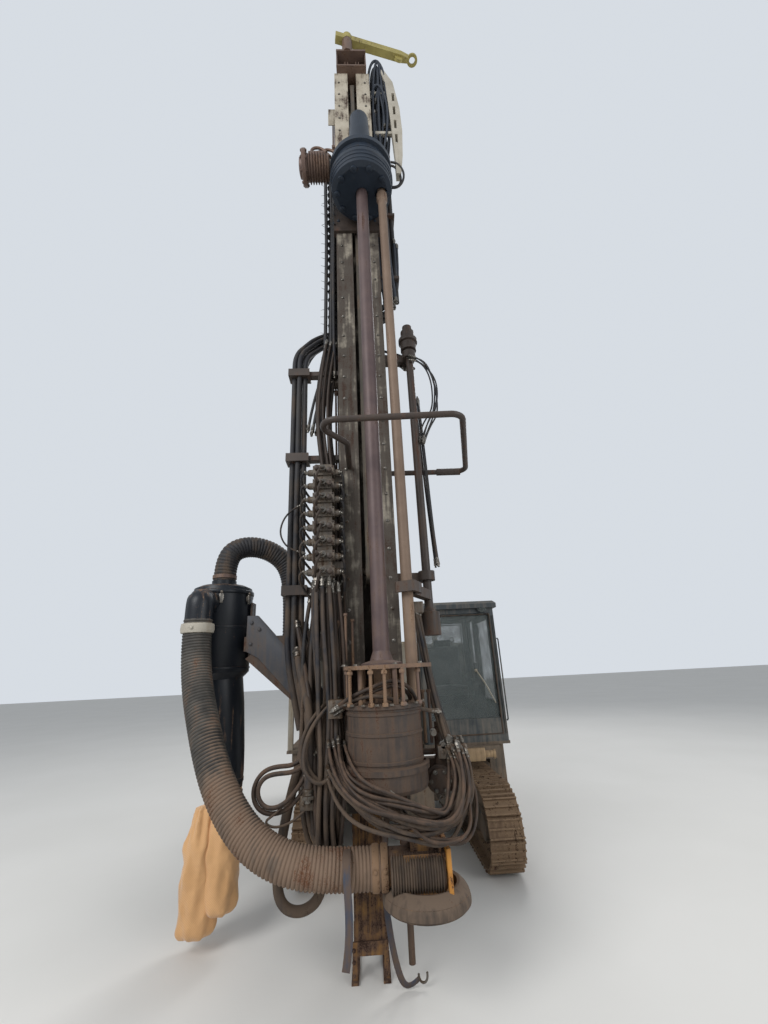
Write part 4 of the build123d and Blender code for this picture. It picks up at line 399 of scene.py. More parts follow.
# Black enamel of the cyclone, satin
CYCLONE_PAINT = Coat("cyclone_enamel", "#12161c", "#171b21", "#7a5f4a", "#8a705a", 0.12, 0.12, 0.3,
                     cloud_mm=240, shine=0.4, bump_mm=0.3)
# Sacking of the dust bag
BAG_CLOTH = Cloth("woven_sacking", "#d3a472", "#b08352")
# Ochre enamel gone to rust and oil
OCHRE_PAINT = Coat("ochre_enamel", "#8a6536", "#74512d", "#54433a", "#34231a", 0.7, 0.6, 0.25, cloud_mm=110,
                   streak_mm=24, bump_mm=0.9)
# The same enamel where it is rubbed clean, at the hood's right edge
EDGE_PAINT = Coat("rubbed_ochre_enamel", "#b5803c", "#a06c33", "#6f5138", "#3a2418", 0.35, 0.4, 0.1,
                  cloud_mm=110, streak_mm=20)
# Blue-black enamel of the rotary head
HEAD_PAINT = Coat("head_enamel", "#1b232d", "#242c37", "#35383c", "#231f20", 0.4, 0.25, 0.0, cloud_mm=200,
                  shine=0.42)
# Yellow-olive enamel of the jib
JIB_PAINT = Coat("jib_enamel", "#9a8f55", "#857a48", "#6f664a", "#4a3a28", 0.35, 0.3, 0.0, cloud_mm=240)
# Bright turned steel of fittings and ties
BARE_STEEL = Coat("turned_steel", "#76726c", "#615d57", "#5a4c3f", "#4c3828", 0.4, 0.3, 0.3, cloud_mm=60,
                  shine=0.3, metal=0.85, bump_mm=0.3)
# Woven seat cloth
SEAT_CLOTH = Cloth("seat_weave", "#2b2c2e", "#3a3a3b", thread_mm=5.0)
# Webbing of the tie-down straps
STRAP_WEB = Coat("strap_webbing", "#3f4450", "#4a4a50", "#5c4c40", dirt_and_shade_share=0.5, rust_share=0.05,
                 cloud_mm=120, bump_mm=0.6, shine=0.8)
CHROME = Plate("hard_chrome")
GLASS = Pane("cab_glass")

NODE_FINISH = {
    "tracks": TRACK_STEEL, "track_frames": CHASSIS_STEEL, "car_body": CHASSIS_STEEL,
    "boom_tower": CHASSIS_STEEL, "deck": CHASSIS_STEEL,
    "cab_shell": CAB_PAINT, "cab_roof": CAB_PAINT, "cab_glass": GLASS, "cab_door": CAB_PAINT,
    "door_glass": GLASS, "door_hinges": BARE_STEEL, "cab_inside": SEAT_CLOTH, "engine_house": HOUSE_PAINT,
    "service_door_left": HOUSE_PAINT, "service_door_right": HOUSE_PAINT, "engine": CHASSIS_STEEL,
    "dust_collector": HOUSE_PAINT, "boom": BOOM_PAINT, "boom_duct": DUCT_PAINT,
    "lift_barrels": CYLINDER_PAINT, "lift_rods": CHROME, "tilt_barrel": CYLINDER_PAINT, "tilt_rod": CHROME,
    "mast": MAST_PAINT, "mast_bracket": BRACKET_PAINT, "mast_head": WORN_STEEL, "mast_arms": BRACKET_PAINT,
    "hose_guide": HOUSE_PAINT, "rod_table": WORN_STEEL, "drum": BRACKET_PAINT, "guide_column": COLUMN_STEEL,
    "feed_chain": CHASSIS_STEEL, "guard_hoop": BRACKET_PAINT, "valve_stack": VALVE_METAL,
    "top_hoses": HOSE_RUBBER, "hose_trunk": HOSE_RUBBER, "cyclone": CYCLONE_PAINT, "dust_bag": BAG_CLOTH,
    "dust_duct": HOSE_RUBBER, "suction_hose": SUCTION_RUBBER, "mast_foot": OCHRE_PAINT,
    "rotary_head": HEAD_PAINT, "head_motor": WORN_STEEL, "carriage": BRACKET_PAINT, "drill_rod": ROD_STEEL,
    "suction_hood": OCHRE_PAINT, "hood_skirt": HOSE_RUBBER, "rod_handler": BRACKET_PAINT, "jib": JIB_PAINT,
}


@dataclass
class Bench:
    """The modelling bench: adds primitives, shapes them and hands finished pieces to their bodies."""

    made: dict[str, bpy.types.Material] = field(default_factory=dict)
    point: float = 0.0005
    shade_angle: float = math.radians(42)

    def finish_for(self, finish: Finish) -> bpy.types.Material:
        """Gives the material of a finish, which is made the first time it is asked for."""
        if finish.name not in self.made:
            self.made[finish.name] = finish.build()
        return self.made[finish.name]

    def dress_nodes(self) -> None:
        """Puts the finishes on the pieces that come from the CAD model."""
        for name, finish in NODE_FINISH.items():
            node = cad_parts.get(name)
            if node is None:
                continue
            if not node.material_slots:
                node.data.materials.append(None)
            for slot in node.material_slots:
                slot.material = self.finish_for(finish)

    def alone(self, piece: Piece) -> None:
        """Selects one piece and nothing else."""
        bpy.ops.object.select_all(action="DESELECT")
        piece.select_set(True)
        bpy.context.view_layer.objects.active = piece

    @contextmanager
    def editing(self, piece: Piece) -> Iterator[None]:
        """Opens a mesh for edits with all of it selected, and closes it afterwards."""
        self.alone(piece)
        bpy.ops.object.mode_set(mode="EDIT")
        bpy.ops.mesh.select_all(action="SELECT")
        yield
        bpy.ops.object.mode_set(mode="OBJECT")

    def settle(self, piece: Piece | list[Piece], name: str, body: Body | None,
               finish: Finish) -> Piece:
        """Names a finished piece, moves its mesh into the shared frame and sets it on its body.

        Args:
            piece: A mesh drawn in the rig's own coordinates, or several that become one.
            name: The piece's plain name.
            body: The moving group that carries it, or None for a piece that spans two and is set on neither.
            finish: The finish it gets.

        Returns:
            The settled piece.
        """
        if isinstance(piece, list):
            piece = self.join(piece)
        piece.name = name
        piece.data.name = name
        piece.data.transform(Matrix.Translation(HOME) @ piece.matrix_world)
        piece.matrix_world = Matrix.Identity(4)
        piece.data.materials.clear()
        piece.data.materials.append(self.finish_for(finish))
        self.alone(piece)
        bpy.ops.object.shade_smooth_by_angle(angle=self.shade_angle)
        if body:
            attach(piece, body.value)
        LOG.info("%s: %d faces on %s", name, len(piece.data.polygons), body.value if body else "two bodies")
        return piece

    def join(self, pieces: list[Piece]) -> Piece:
        """Joins several meshes into the first one."""
        self.alone(pieces[0])
        for piece in pieces[1:]:
            piece.select_set(True)
        if len(pieces) > 1:
            bpy.ops.object.join()
        return pieces[0]

    def place(self, piece: Piece, at: Point, way: Way | Vector = Way.UP) -> Piece:
        """Turns a mesh that was made along z to a direction and moves it to a point."""
        towards = way.value if isinstance(way, Way) else way
        turn = Vector((0, 0, 1)).rotation_difference(towards).to_matrix().to_4x4()
        piece.data.transform(Matrix.Translation(Vector(at)) @ turn)
        return piece

    def stacked(self, stations: list[tuple[float, float, float, float]], y: float = 0.0,
                sides: int = 28) -> Piece:
        """Models a closed body from an oval disc that is extruded and scaled station by station.

        Args:
            stations: The middle x, half width, half depth and height of each ring.
            y: The middle y of all rings.
            sides: The number of sides round the body.

        Returns:
            The closed mesh.
        """
        x, wide, deep, z = stations[0]
        bpy.ops.mesh.primitive_circle_add(vertices=sides, radius=1.0, fill_type="NGON", location=(0, 0, 0))
        piece = bpy.context.object
        piece.data.transform(Matrix.Translation((x, y, z)) @ Matrix.Diagonal((wide, deep, 1, 1)))
        with self.editing(piece):
            for new_x, new_wide, new_deep, new_z in stations[1:]:
                bpy.ops.mesh.extrude_region_move(TRANSFORM_OT_translate={"value": (new_x - x, 0, new_z - z)})
                bpy.ops.transform.resize(value=(new_wide / wide, new_deep / deep, 1),
                                         center_override=(new_x, y, new_z))
                x, wide, deep, z = new_x, new_wide, new_deep, new_z
            bpy.ops.mesh.select_all(action="SELECT")
            bpy.ops.mesh.normals_make_consistent(inside=False)
        return piece

    def turned(self, profile: Profile, sides: int, at: Point = (0.0, 0.0, 0.0),
               way: Way | Vector = Way.UP) -> Piece:
        """Models a turned piece from the radius and height of its rings, bottom first, and places it."""
        rings = [(max(radius, self.point), height) for radius, height in profile]
        piece = self.stacked([(0.0, radius, radius, height) for radius, height in rings], sides=sides)
        return self.place(piece, at, way)

    def cut(self, piece: Piece, unwanted: Callable[[bpy.types.MeshPolygon], bool],
            kind: str = "FACE") -> Piece:
        """Deletes the faces of a mesh that a test picks.

        Args:
            piece: The mesh.
            unwanted: The test of a face.
            kind: What goes with the faces, FACE or ONLY_FACE.

        Returns:
            The same mesh.
        """
        with self.editing(piece):
            bpy.ops.mesh.select_mode(type="FACE")
            bpy.ops.mesh.select_all(action="DESELECT")
        for polygon in piece.data.polygons:
            polygon.select = unwanted(polygon)
        bpy.ops.object.mode_set(mode="EDIT")
        bpy.ops.mesh.delete(type=kind)
        bpy.ops.object.mode_set(mode="OBJECT")
        return piece

    def modified(self, piece: Piece, kind: str, **settings) -> None:
        """Adds a modifier of a kind with its settings and applies it."""
        modifier = piece.modifiers.new(kind.lower(), kind)
        for key, value in settings.items():
            setattr(modifier, key, value)
        self.alone(piece)
        bpy.ops.object.modifier_apply(modifier=modifier.name)

    def open_ends(self, piece: Piece) -> Piece:
        """Deletes the end discs of a turned piece, whose faces have more than four corners."""
        return self.cut(piece, lambda polygon: len(polygon.vertices) > 4, "ONLY_FACE")

    def hoop(self, profile: Profile, sides: int, at: Point) -> Piece:
        """Models an open ring, from a profile that starts and ends on its inner radius, and places it."""
        ring = self.open_ends(self.turned([*profile, profile[0]], sides, at))
        with self.editing(ring):
            bpy.ops.mesh.remove_doubles(threshold=0.00001)
            bpy.ops.mesh.normals_make_consistent(inside=False)
        return ring

    def block(self, low: Point, high: Point, edge: float = 0.004) -> Piece:
        """Models a block between two corners, with its edges bevelled."""
        bpy.ops.mesh.primitive_cube_add(size=1, location=[(a + b) / 2 for a, b in zip(low, high)])
        piece = bpy.context.object
        piece.scale = [abs(b - a) for a, b in zip(low, high)]
        bpy.ops.object.transform_apply(location=True, rotation=False, scale=True)
        with self.editing(piece):
            bpy.ops.mesh.bevel(offset=edge, segments=2, affect="EDGES")
        return piece

    def bolt(self, radius: float = 0.014) -> Piece:
        """Models a bolt head: a washer, a hexagon and its chamfered top."""
        washer = self.turned([(radius * 1.35, 0), (radius * 1.35, radius * 0.22)], 12)
        head = self.turned([(radius, radius * 0.2), (radius, radius * 0.78),
                            (radius * 0.82, radius * 0.9)], 6)
        return self.join([washer, head])

    def copies(self, model: Piece, places: Places) -> Piece:
        """Copies one model to many places and joins the copies.

        Args:
            model: A mesh along z at the origin, which is used up.
            places: The point and direction of each copy.

        Returns:
            One mesh that holds all the copies.
        """
        pieces = []
        for at, way in places:
            copy = bpy.data.objects.new(model.name, model.data.copy())
            bpy.context.scene.collection.objects.link(copy)
            pieces.append(self.place(copy, at, way))
        bpy.data.objects.remove(model)
        return self.join(pieces)

    def bolts(self, radius: float, places: Places) -> Piece:
        """Models a bolt head of a size at each place."""
        return self.copies(self.bolt(radius), places)

    def loom(self, routes: list[list[Point]], radius: float, soft: bool = True) -> Piece:
        """Draws several hoses as the splines of one curve.

        Args:
            routes: The control points of each hose.
            radius: The outer radius of a hose.
            soft: Whether the hose bends smoothly, and not in straight runs.

        Returns:
            The curve object.
        """
        curve = bpy.data.curves.new("hose", "CURVE")
        curve.dimensions = "3D"
        curve.resolution_u = 6
        curve.bevel_depth = radius
        curve.bevel_resolution = HOSE_BEVEL
        curve.use_fill_caps = True
        for points in routes:
            spline = curve.splines.new("NURBS" if soft else "POLY")
            spline.points.add(len(points) - 1)
            for knot, at in zip(spline.points, points):
                knot.co = (*at, 1.0)
            if soft:
                spline.order_u = min(4, len(points))
                spline.use_endpoint_u = True
        piece = bpy.data.objects.new("hose", curve)
        bpy.context.scene.collection.objects.link(piece)
        return piece

    def tubes(self, routes: list[list[Point]], radius: float, soft: bool = True) -> Piece:
        """Models several hoses or tubes as one mesh."""
        self.alone(self.loom(routes, radius, soft))
        bpy.ops.object.convert(target="MESH")
        return bpy.context.object

    def ribbed(self, points: list[Point], profile: Profile, sides: int) -> Piece:
        """Models a ribbed hose: one rib is turned, repeated in an array and bent along the route.

        Args:
            points: The control points of the route.
            profile: Radius and distance along the hose of one rib's rings.
            sides: The number of sides round the hose.

        Returns:
            The bent hose as a mesh.
        """
        route = self.loom([points], 0.0)
        route.data.resolution_u = 12
        rib = self.open_ends(self.turned(profile, sides))
        pitch = profile[-1][1] - profile[0][1]
        length = route.data.splines[0].calc_length()
        self.modified(rib, "ARRAY", use_relative_offset=False, use_constant_offset=True,
                      constant_offset_displace=(0, 0, pitch), count=round(length / pitch),
                      use_merge_vertices=True, merge_threshold=0.0005)
        self.modified(rib, "CURVE", object=route, deform_axis="POS_Z")
        bpy.data.objects.remove(route)
        return rib


@dataclass(frozen=True)
class Run:
    """A bundle of like hoses that lie along one route, its sizes in metres."""

    name: str
    points: list[Point]
    count: int
    radius: float
    wander: float
    finish: Coat = HOSE_RUBBER


@dataclass
class HoseLooms:
    """All the hydraulic hoses of the mast, in bundles, with their fittings, ties and blocks."""

    bench: Bench
    packing: float = 1.12
    turn: float = 2.39996
    tie_width: float = 0.012
    upper_seed: int = 0
    lower_seed: int = 40
    pole_seed: int = 70
    tie_seed: int = 9

    def spread(self, run: Run, seed: int) -> list[list[Point]]:
        """Lays the hoses of a bundle side by side round its route, with small seeded differences.

        Args:
            run: The bundle.
            seed: The seed of the differences.

        Returns:
            The control points of each hose.
        """
        dice = random.Random(seed)
        base = [Vector(p) for p in run.points]
        routes = []
        for index in range(run.count):
            away = self.packing * run.radius * math.sqrt(index + 0.3) * 1.7
            angle = index * self.turn
            route = []
            for step, point in enumerate(base):
                before, after = base[max(step - 1, 0)], base[min(step + 1, len(base) - 1)]
                along = (after - before).normalized()
                side = along.cross(Vector((0.12, 1.0, 0.08)))
                side = side.normalized() if side.length > 0.1 else Vector((1, 0, 0))
                rise = side.cross(along)
                shift = side * math.cos(angle) * away + rise * math.sin(angle) * away
                inner = 0 < step < len(base) - 1
                shake = Vector([dice.uniform(-run.wander, run.wander) * inner for _ in range(3)])
                route.append(tuple(point + shift + shake))
            routes.append(route)
        return routes

    def fittings(self, routes: list[list[Point]], radius: float) -> Piece:
        """Models a crimped ferrule and its hexagon at both ends of each hose."""
        parts = (
            # sides, then each ring as a share of the hose's radius and its place along the hose
            (10, (0.9, 0), (1.28, 0.002), (1.28, 0.012), (1.16, 0.014), (1.16, 0.018), (1.28, 0.02),
             (1.28, 0.034), (1.02, 0.038)),
            (6, (1.5, -0.024), (1.5, -0.003), (1.3, 0.0)),
            (10, (0.9, -0.045), (0.9, -0.02)),
        )
        model = self.bench.join([self.bench.turned([(radius * share, z) for share, z in rings], sides)
                                 for sides, *rings in parts])
        places = []
        for route in routes:
            for end, inward in ((route[0], route[1]), (route[-1], route[-2])):
                places.append((end, (Vector(inward) - Vector(end)).normalized()))
        return self.bench.copies(model, places)

    def fitted(self, name: str, routes: list[list[Point]], radius: float, finish: Coat) -> None:
        """Models hoses with their fittings and sets both on the mast."""
        self.bench.settle(self.bench.tubes(routes, radius), name, Body.MAST, finish)
        self.bench.settle(self.fittings(routes, radius), name + "_fittings", Body.MAST, BARE_STEEL)

    def lay(self, runs: tuple[Run, ...], first_seed: int) -> None:
        """Models bundles one after the other, each with a seed of its own."""
        for seed, run in enumerate(runs, first_seed):
            self.fitted(run.name, self.spread(run, seed), run.radius, run.finish)

    def upper(self) -> None:
        """Lays the bundles beside the top half of the beam and behind it."""
        runs = (
            # name, points, hoses, radius, wander
            Run("left_bundle", [(-.32, .05, 4.85), (-.32, .05, 5.6), (-.31, .06, 6.4), (-.30, .06, 7.2),
                (-.31, .05, 7.9), (-.3, .05, 8.3)], 10, .018, .014),
            Run("arc_hoses", [(-.66, .08, 4.75), (-.67, .12, 5.1), (-.5, .2, 5.45), (-.2, .3, 5.75),
                (.15, .32, 5.95), (.42, .2, 6.05), (.47, .12, 6.3), (.46, .12, 6.9)], 4, .017, .02,
                finish=HOSE_SLATE),
            Run("cross_hoses", [(-.5, -.02, 4.2), (-.42, .0, 4.7), (-.3, .1, 5.1), (-.25, .26, 5.3),
                (.0, .3, 5.4), (.25, .25, 5.3), (.42, .1, 5.1), (.5, -.02, 4.95)], 6, .014, .02),
            Run("left_column_hoses", [(-.33, .02, 5.25), (-.4, -.05, 4.7), (-.42, -.05, 4.2),
                (-.36, -.08, 3.7), (-.33, -.1, 3.3), (-.3, -.12, 2.8), (-.3, -.15, 2.4)], 9, .015, .02,
                finish=HOSE_EARTH),
            Run("loop_hose", [(-.61, -.1, 3.38), (-.72, -.1, 3.33), (-.8, -.1, 3.19), (-.79, -.1, 3.05),
                (-.71, -.1, 2.95), (-.6, -.1, 2.92)], 1, .008, .0),
            Run("right_bundle", [(.30, .04, 9.3), (.31, .04, 8.6), (.30, .05, 7.8), (.31, .05, 7.1),
                (.33, .06, 6.4), (.36, .06, 5.9)], 6, .017, .012, finish=HOSE_SLATE),
            Run("crown_hoses", [(.27, .0, 9.55), (.33, -.03, 9.9), (.43, -.02, 9.75), (.5, .0, 9.3),
                (.47, .02, 8.8), (.4, .03, 8.4), (.36, .04, 8.0)], 5, .015, .02, finish=HOSE_SLATE),
            Run("wall_hoses", [(.3, .03, 8.2), (.3, .02, 8.9), (.31, .0, 9.6), (.33, -.02, 10.2),
                (.37, -.02, 10.45), (.42, .0, 10.2), (.43, .03, 9.7), (.44, .05, 9.0)], 6, .018, .02,
                finish=HOSE_SLATE),
            Run("curl_hose", [(.38, -.04, 8.15), (.5, -.05, 8.2), (.62, -.05, 8.05), (.62, -.05, 7.8),
                (.53, -.04, 7.7), (.42, .0, 7.8)], 2, .014, .01),
            Run("middle_hoses", [(-.27, -.17, 3.5), (-.29, -.2, 3.2), (-.27, -.21, 2.8), (-.25, -.2, 2.4),
                (-.27, -.22, 2.05), (-.3, -.25, 1.75)], 7, .014, .015, finish=HOSE_EARTH),
        )
        self.lay(runs, self.upper_seed)

    def lower(self) -> None:
        """Lays the bundles from the valves down to the table, the drum and the foot."""
        runs = (
            # name, points, hoses, radius, wander
            Run("fall_hoses", [(-.38, -.33, 2.6), (-.38, -.36, 2.3), (-.34, -.38, 1.95), (-.33, -.42, 1.6),
                (-.33, -.45, 1.3), (-.36, -.42, 1.0), (-.34, -.37, .8)], 10, .016, .02),
            Run("fall_hoses_earthy", [(-.3, -.3, 2.55), (-.27, -.33, 2.2), (-.28, -.36, 1.85),
                (-.24, -.44, 1.5), (-.26, -.42, 1.2), (-.3, -.38, .98), (-.31, -.36, .82)], 8, .014, .025,
                finish=HOSE_EARTH),
            Run("trunk_hoses", [(-.6, .0, 2.05), (-.55, -.1, 1.8), (-.44, -.3, 1.65), (-.46, -.36, 1.4),
                (-.46, -.38, 1.15)], 3, .03, .01),
            Run("side_trunk_hoses", [(-.62, .02, 2.3), (-.52, -.1, 1.95), (-.48, -.26, 1.7),
                (-.42, -.38, 1.3), (-.42, -.4, 1.0), (-.38, -.36, .82)], 4, .02, .02, finish=HOSE_EARTH),
            Run("drum_arc_high", [(-.26, -.6, 1.68), (-.15, -.66, 1.76), (-.02, -.7, 1.8), (.1, -.7, 1.84),
                (.2, -.68, 1.83), (.27, -.62, 1.75), (.29, -.56, 1.68)], 2, .013, .01, finish=HOSE_EARTH),
            Run("drum_arc_low", [(-.26, -.6, 1.67), (-.1, -.68, 1.75), (.05, -.68, 1.75), (.2, -.66, 1.69),
                (.32, -.6, 1.64), (.42, -.55, 1.62)], 1, .014, .0),
            Run("swag_hoses", [(-.27, -.52, 1.44), (-.23, -.76, 1.32), (-.1, -.87, 1.22), (.08, -.88, 1.16),
                (.25, -.87, 1.09), (.4, -.84, 1.07), (.5, -.8, 1.14), (.55, -.72, 1.27), (.53, -.6, 1.38)], 9,
                .011, .035, finish=HOSE_EARTH),
            Run("swag_hoses_dark", [(-.3, -.5, 1.3), (-.2, -.74, 1.2), (.0, -.84, 1.08), (.2, -.84, 1.02),
                (.4, -.8, .98), (.52, -.76, 1.08), (.6, -.68, 1.22), (.56, -.58, 1.36)], 6, .012, .035),
            Run("swag_low", [(.1, -.8, 1.2), (.22, -.84, 1.0), (.4, -.82, .93), (.53, -.78, .96),
                (.6, -.72, 1.1), (.59, -.66, 1.24), (.55, -.58, 1.34)], 3, .01, .03, finish=HOSE_EARTH),
            Run("right_column_hoses", [(.36, -.3, 2.35), (.4, -.34, 2.1), (.42, -.4, 1.85), (.45, -.46, 1.6),
                (.5, -.5, 1.42)], 4, .013, .02),
            Run("right_drop_hoses", [(.58, -.5, 1.42), (.62, -.48, 1.15), (.58, -.46, .95), (.48, -.44, .98),
                (.44, -.44, 1.1)], 2, .014, .015),
            Run("side_loop", [(-.42, -.42, 1.42), (-.522, -.45, 1.31), (-.64, -.45, 1.3), (-.77, -.45, 1.3),
                (-.83, -.45, 1.2), (-.79, -.45, 1.09), (-.67, -.45, 1.06), (-.56, -.45, 1.13),
                (-.46, -.42, 1.28)], 2, .015, .008, finish=HOSE_EARTH),
            Run("thin_loop", [(-.43, -.4, 1.35), (-.52, -.45, 1.24), (-.65, -.45, 1.07), (-.77, -.45, 1.03),
                (-.71, -.45, .97), (-.58, -.45, .98), (-.47, -.43, 1.06), (-.42, -.4, 1.12)], 1, .008, .0),
            Run("bend_hose", [(-.5, -.2, 1.6), (-.6, -.25, 1.3), (-.68, -.25, 1.0), (-.73, -.25, .7),
                (-.72, -.25, .52), (-.64, -.25, .43), (-.54, -.25, .41), (-.46, -.25, .43), (-.37, -.27, .5),
                (-.33, -.3, .66), (-.33, -.34, .76)], 1, .034, .0),
            Run("back_fall_hoses", [(-.44, -.12, 2.5), (-.5, -.14, 2.1), (-.48, -.2, 1.7), (-.52, -.24, 1.3),
                (-.48, -.26, .98), (-.4, -.28, .84), (-.33, -.34, .78)], 5, .017, .03),
            Run("left_loops", [(-.3, -.4, 1.72), (-.44, -.47, 1.62), (-.52, -.48, 1.42), (-.46, -.5, 1.24),
                (-.34, -.48, 1.2), (-.28, -.46, 1.3)], 3, .013, .02),
        )
        self.lay(runs, self.lower_seed)

    def valve_loops(self) -> None:
        """Lays the short hoses that curl from the valve sections to the bundle beside the beam."""
        high, low = [], []
        for index, z in enumerate(VALVE_ROWS):
            lift = 0.03 * (index % 3)
            high.append([(-.51, -.32, z), (-.57, -.33, z + .02), (-.6, -.26, z - .06 - lift),
                         (-.52, -.14, z - .16), (-.42, -.08, z - .3)])
            high.append([(-.24, -.32, z), (-.2, -.34, z - .01), (-.18, -.3, z - .1), (-.24, -.24, z - .22)])
            low.append([(-.38, -.43, z), (-.38, -.49, z - .01), (-.41 - lift, -.49, z - .1),
                        (-.43, -.4, z - .2), (-.44, -.3, z - .26)])
        self.fitted("valve_side_hoses", high, .011, HOSE_RUBBER)
        self.fitted("valve_front_hoses", low, .01, HOSE_EARTH)

    def pole_lines(self) -> None:
        """Lays the thin lines that fan out from the top of the rod handler's pole and run down it."""
        runs = (
            # name, points, hoses, radius, wander
            Run("pole_fan", [(.52, -.16, 4.95), (.64, -.1, 4.97), (.75, -.06, 4.82), (.78, -.06, 4.55),
                (.72, -.06, 4.3), (.62, -.1, 4.18), (.57, -.13, 4.0)], 5, .008, .03),
            Run("pole_lines", [(.56, -.03, 4.5), (.57, -.03, 4.1), (.59, -.04, 3.4), (.6, -.05, 3.0),
                (.61, -.06, 2.8)], 3, .01, .006),
        )
        self.lay(runs, self.pole_seed)

    def manifolds(self) -> None:
        """Models the blocks that the hoses end in, with their bolts."""
        boxes = (
            # low corner, high corner
            ((-.42, -.44, .70), (-.25, -.31, .80)),
            ((-.28, -.36, .72), (-.255, -.10, 1.12)),
            ((-.27, -.14, .97), (-.205, .12, 1.12)),
            ((-.52, -.44, 1.06), (-.40, -.33, 1.15)),
            ((-.42, -.40, 1.08), (-.27, -.36, 1.14)),
            ((.42, -.56, 1.34), (.62, -.48, 1.42)),
            ((-.34, -.2, 2.3), (-.21, -.08, 2.42)),
            ((-.36, .0, 4.78), (-.21, .12, 4.86)),
            ((.3, -.36, 2.33), (.42, -.2, 2.42)),
            ((-.32, -.56, 1.62), (-.22, -.46, 1.74)),
        )
        pieces = [self.bench.block(low, high, 0.006) for low, high in boxes]
        bolts = [(at, Way.FRONT) for at in ((-.39, -.44, .73), (-.28, -.44, .77), (-.5, -.44, 1.1),
                                            (-.42, -.44, 1.12), (.45, -.56, 1.38), (.59, -.56, 1.38))]
        pieces.append(self.bench.bolts(0.011, bolts))
        self.bench.settle(pieces, "hose_manifolds", Body.MAST, VALVE_METAL)

    def ties(self) -> None:
        """Models the cable ties of the left bundle, each with its tail sticking out."""
        dice = random.Random(self.tie_seed)
        ring = self.bench.turned(band(0.046, 0.05, self.tie_width + 0.001, 0.001), 14)
        rings, tails = [], []
        for index in range(26):
            z = 4.95 + 0.125 * index
            rings.append(((-.315, .055, z), Way.UP))
            aim = Vector((-1, dice.uniform(-.5, .2), dice.uniform(-.5, .6))).normalized()
            tails.append(((-.355, .045, z + .006), aim))
        tail = self.bench.turned([(0.0035, 0), (0.003, 0.04), (0.0012, 0.095)], 5)
        pieces = [self.bench.copies(ring, rings), self.bench.copies(tail, tails)]
        self.bench.settle(pieces, "bundle_ties", Body.MAST, HOSE_RUBBER)


@dataclass
class SuctionLine:
    """The suction hose from the hood to the cyclone and the duct from the cyclone to the boom."""

    bench: Bench
    rib: float = 0.024
    radius: float = 0.115
    duct_rib: float = 0.03
    duct_radius: float = 0.104
    axis_height: float = 0.765

    def hose(self) -> None:
        """Models the spiral-wire hose with a rounded crest on each turn of the wire."""
        z = self.axis_height
        route = [(0.053, -0.55, z), (-0.13, -0.55, z), (-0.48, -0.63, z + 0.025), (-0.83, -0.56, 0.93),
                 (-1.09, -0.42, 1.23), (-1.27, -0.26, 1.6), (INLET_X, INLET_Y, 2.0), (INLET_X, INLET_Y, 2.38)]
        r, p = self.radius, self.rib
        profile = [(r - 0.009, 0), (r - 0.002, p * 0.25), (r, p * 0.5), (r - 0.002, p * 0.75), (r - 0.009, p)]
        piece = self.bench.ribbed(route, profile, 40)
        self.bench.settle(piece, "suction_hose_ribs", None, SUCTION_RUBBER)
        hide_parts("suction_hose")
        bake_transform(piece)

    def clamps(self) -> None:
        """Models the two band clamps at the hood and the pale cuff at the cyclone."""
        r, z = self.radius, self.axis_height
        strap = [(r - 0.004, 0), (r + 0.006, 0.002), (r + 0.009, 0.012), (r + 0.009, 0.034),
                 (r + 0.006, 0.044), (r - 0.004, 0.046)]
        pieces = [self.bench.turned(strap, 40, (x, ROD_Y, z), Way.LEFT) for x in (-0.005, 0.05)]
        pieces.append(self.bench.bolts(0.012, [((x, -0.672, z + 0.02), Way.FRONT) for x in (-0.03, 0.028)]))
        self.bench.settle(pieces, "hood_hose_clamps", Body.HOOD, WORN_STEEL)
        cuff = [(r - 0.004, 0), (r + 0.012, 0.004), (r + 0.018, 0.03), (r + 0.014, 0.075), (r - 0.004, 0.082)]
        pieces = [self.bench.turned(cuff, 40, (INLET_X, INLET_Y, 2.27))]
        pieces.append(self.bench.place(self.bench.bolt(0.012), (INLET_X, INLET_Y - 0.132, 2.31), Way.FRONT))
        self.bench.settle(pieces, "cyclone_hose_cuff", Body.MAST, HOUSE_PAINT)

    def duct(self) -> None:
        """Models the corrugated black duct that arches from the cyclone's lid to the swivel on the boom."""
        route = [(CYCLONE_X, CYCLONE_Y, 2.78), (CYCLONE_X, CYCLONE_Y, 3.0), (-1.32, .37, 3.13),
                 (-1.08, .48, 3.16), (-.84, .58, 3.02), (-.775, .61, 2.75), (-.77, .62, 2.45),
                 (-.77, .62, 2.2)]
        r, p = self.duct_radius, self.duct_rib
        profile = [(r - 0.006, 0), (r - 0.001, p * 0.3), (r, p * 0.6), (r - 0.003, p * 0.85), (r - 0.006, p)]
        arch = self.bench.ribbed(route, profile, 32)
        elbow = self.bench.tubes([[(-.77, .62, 2.26), (-.77, .62, 2.15), (-.765, .62, 2.13),
                                   (-.74, .62, 2.13), (-.6, .62, 2.13)]], r - 0.006)
        piece = self.bench.settle([arch, elbow], "dust_duct_ribs", Body.MAST, HOSE_RUBBER)
        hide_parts("dust_duct")
        places = [((CYCLONE_X, CYCLONE_Y, 2.8), Way.UP), ((-.77, .62, 2.2), Way.UP),
                  ((-.645, .62, 2.13), Way.RIGHT)]
        model = self.bench.turned(band(r - 0.004, r + 0.007, 0.038, 0.003), 32)
        self.bench.settle(self.bench.copies(model, places), "duct_bands", Body.MAST, WORN_STEEL)


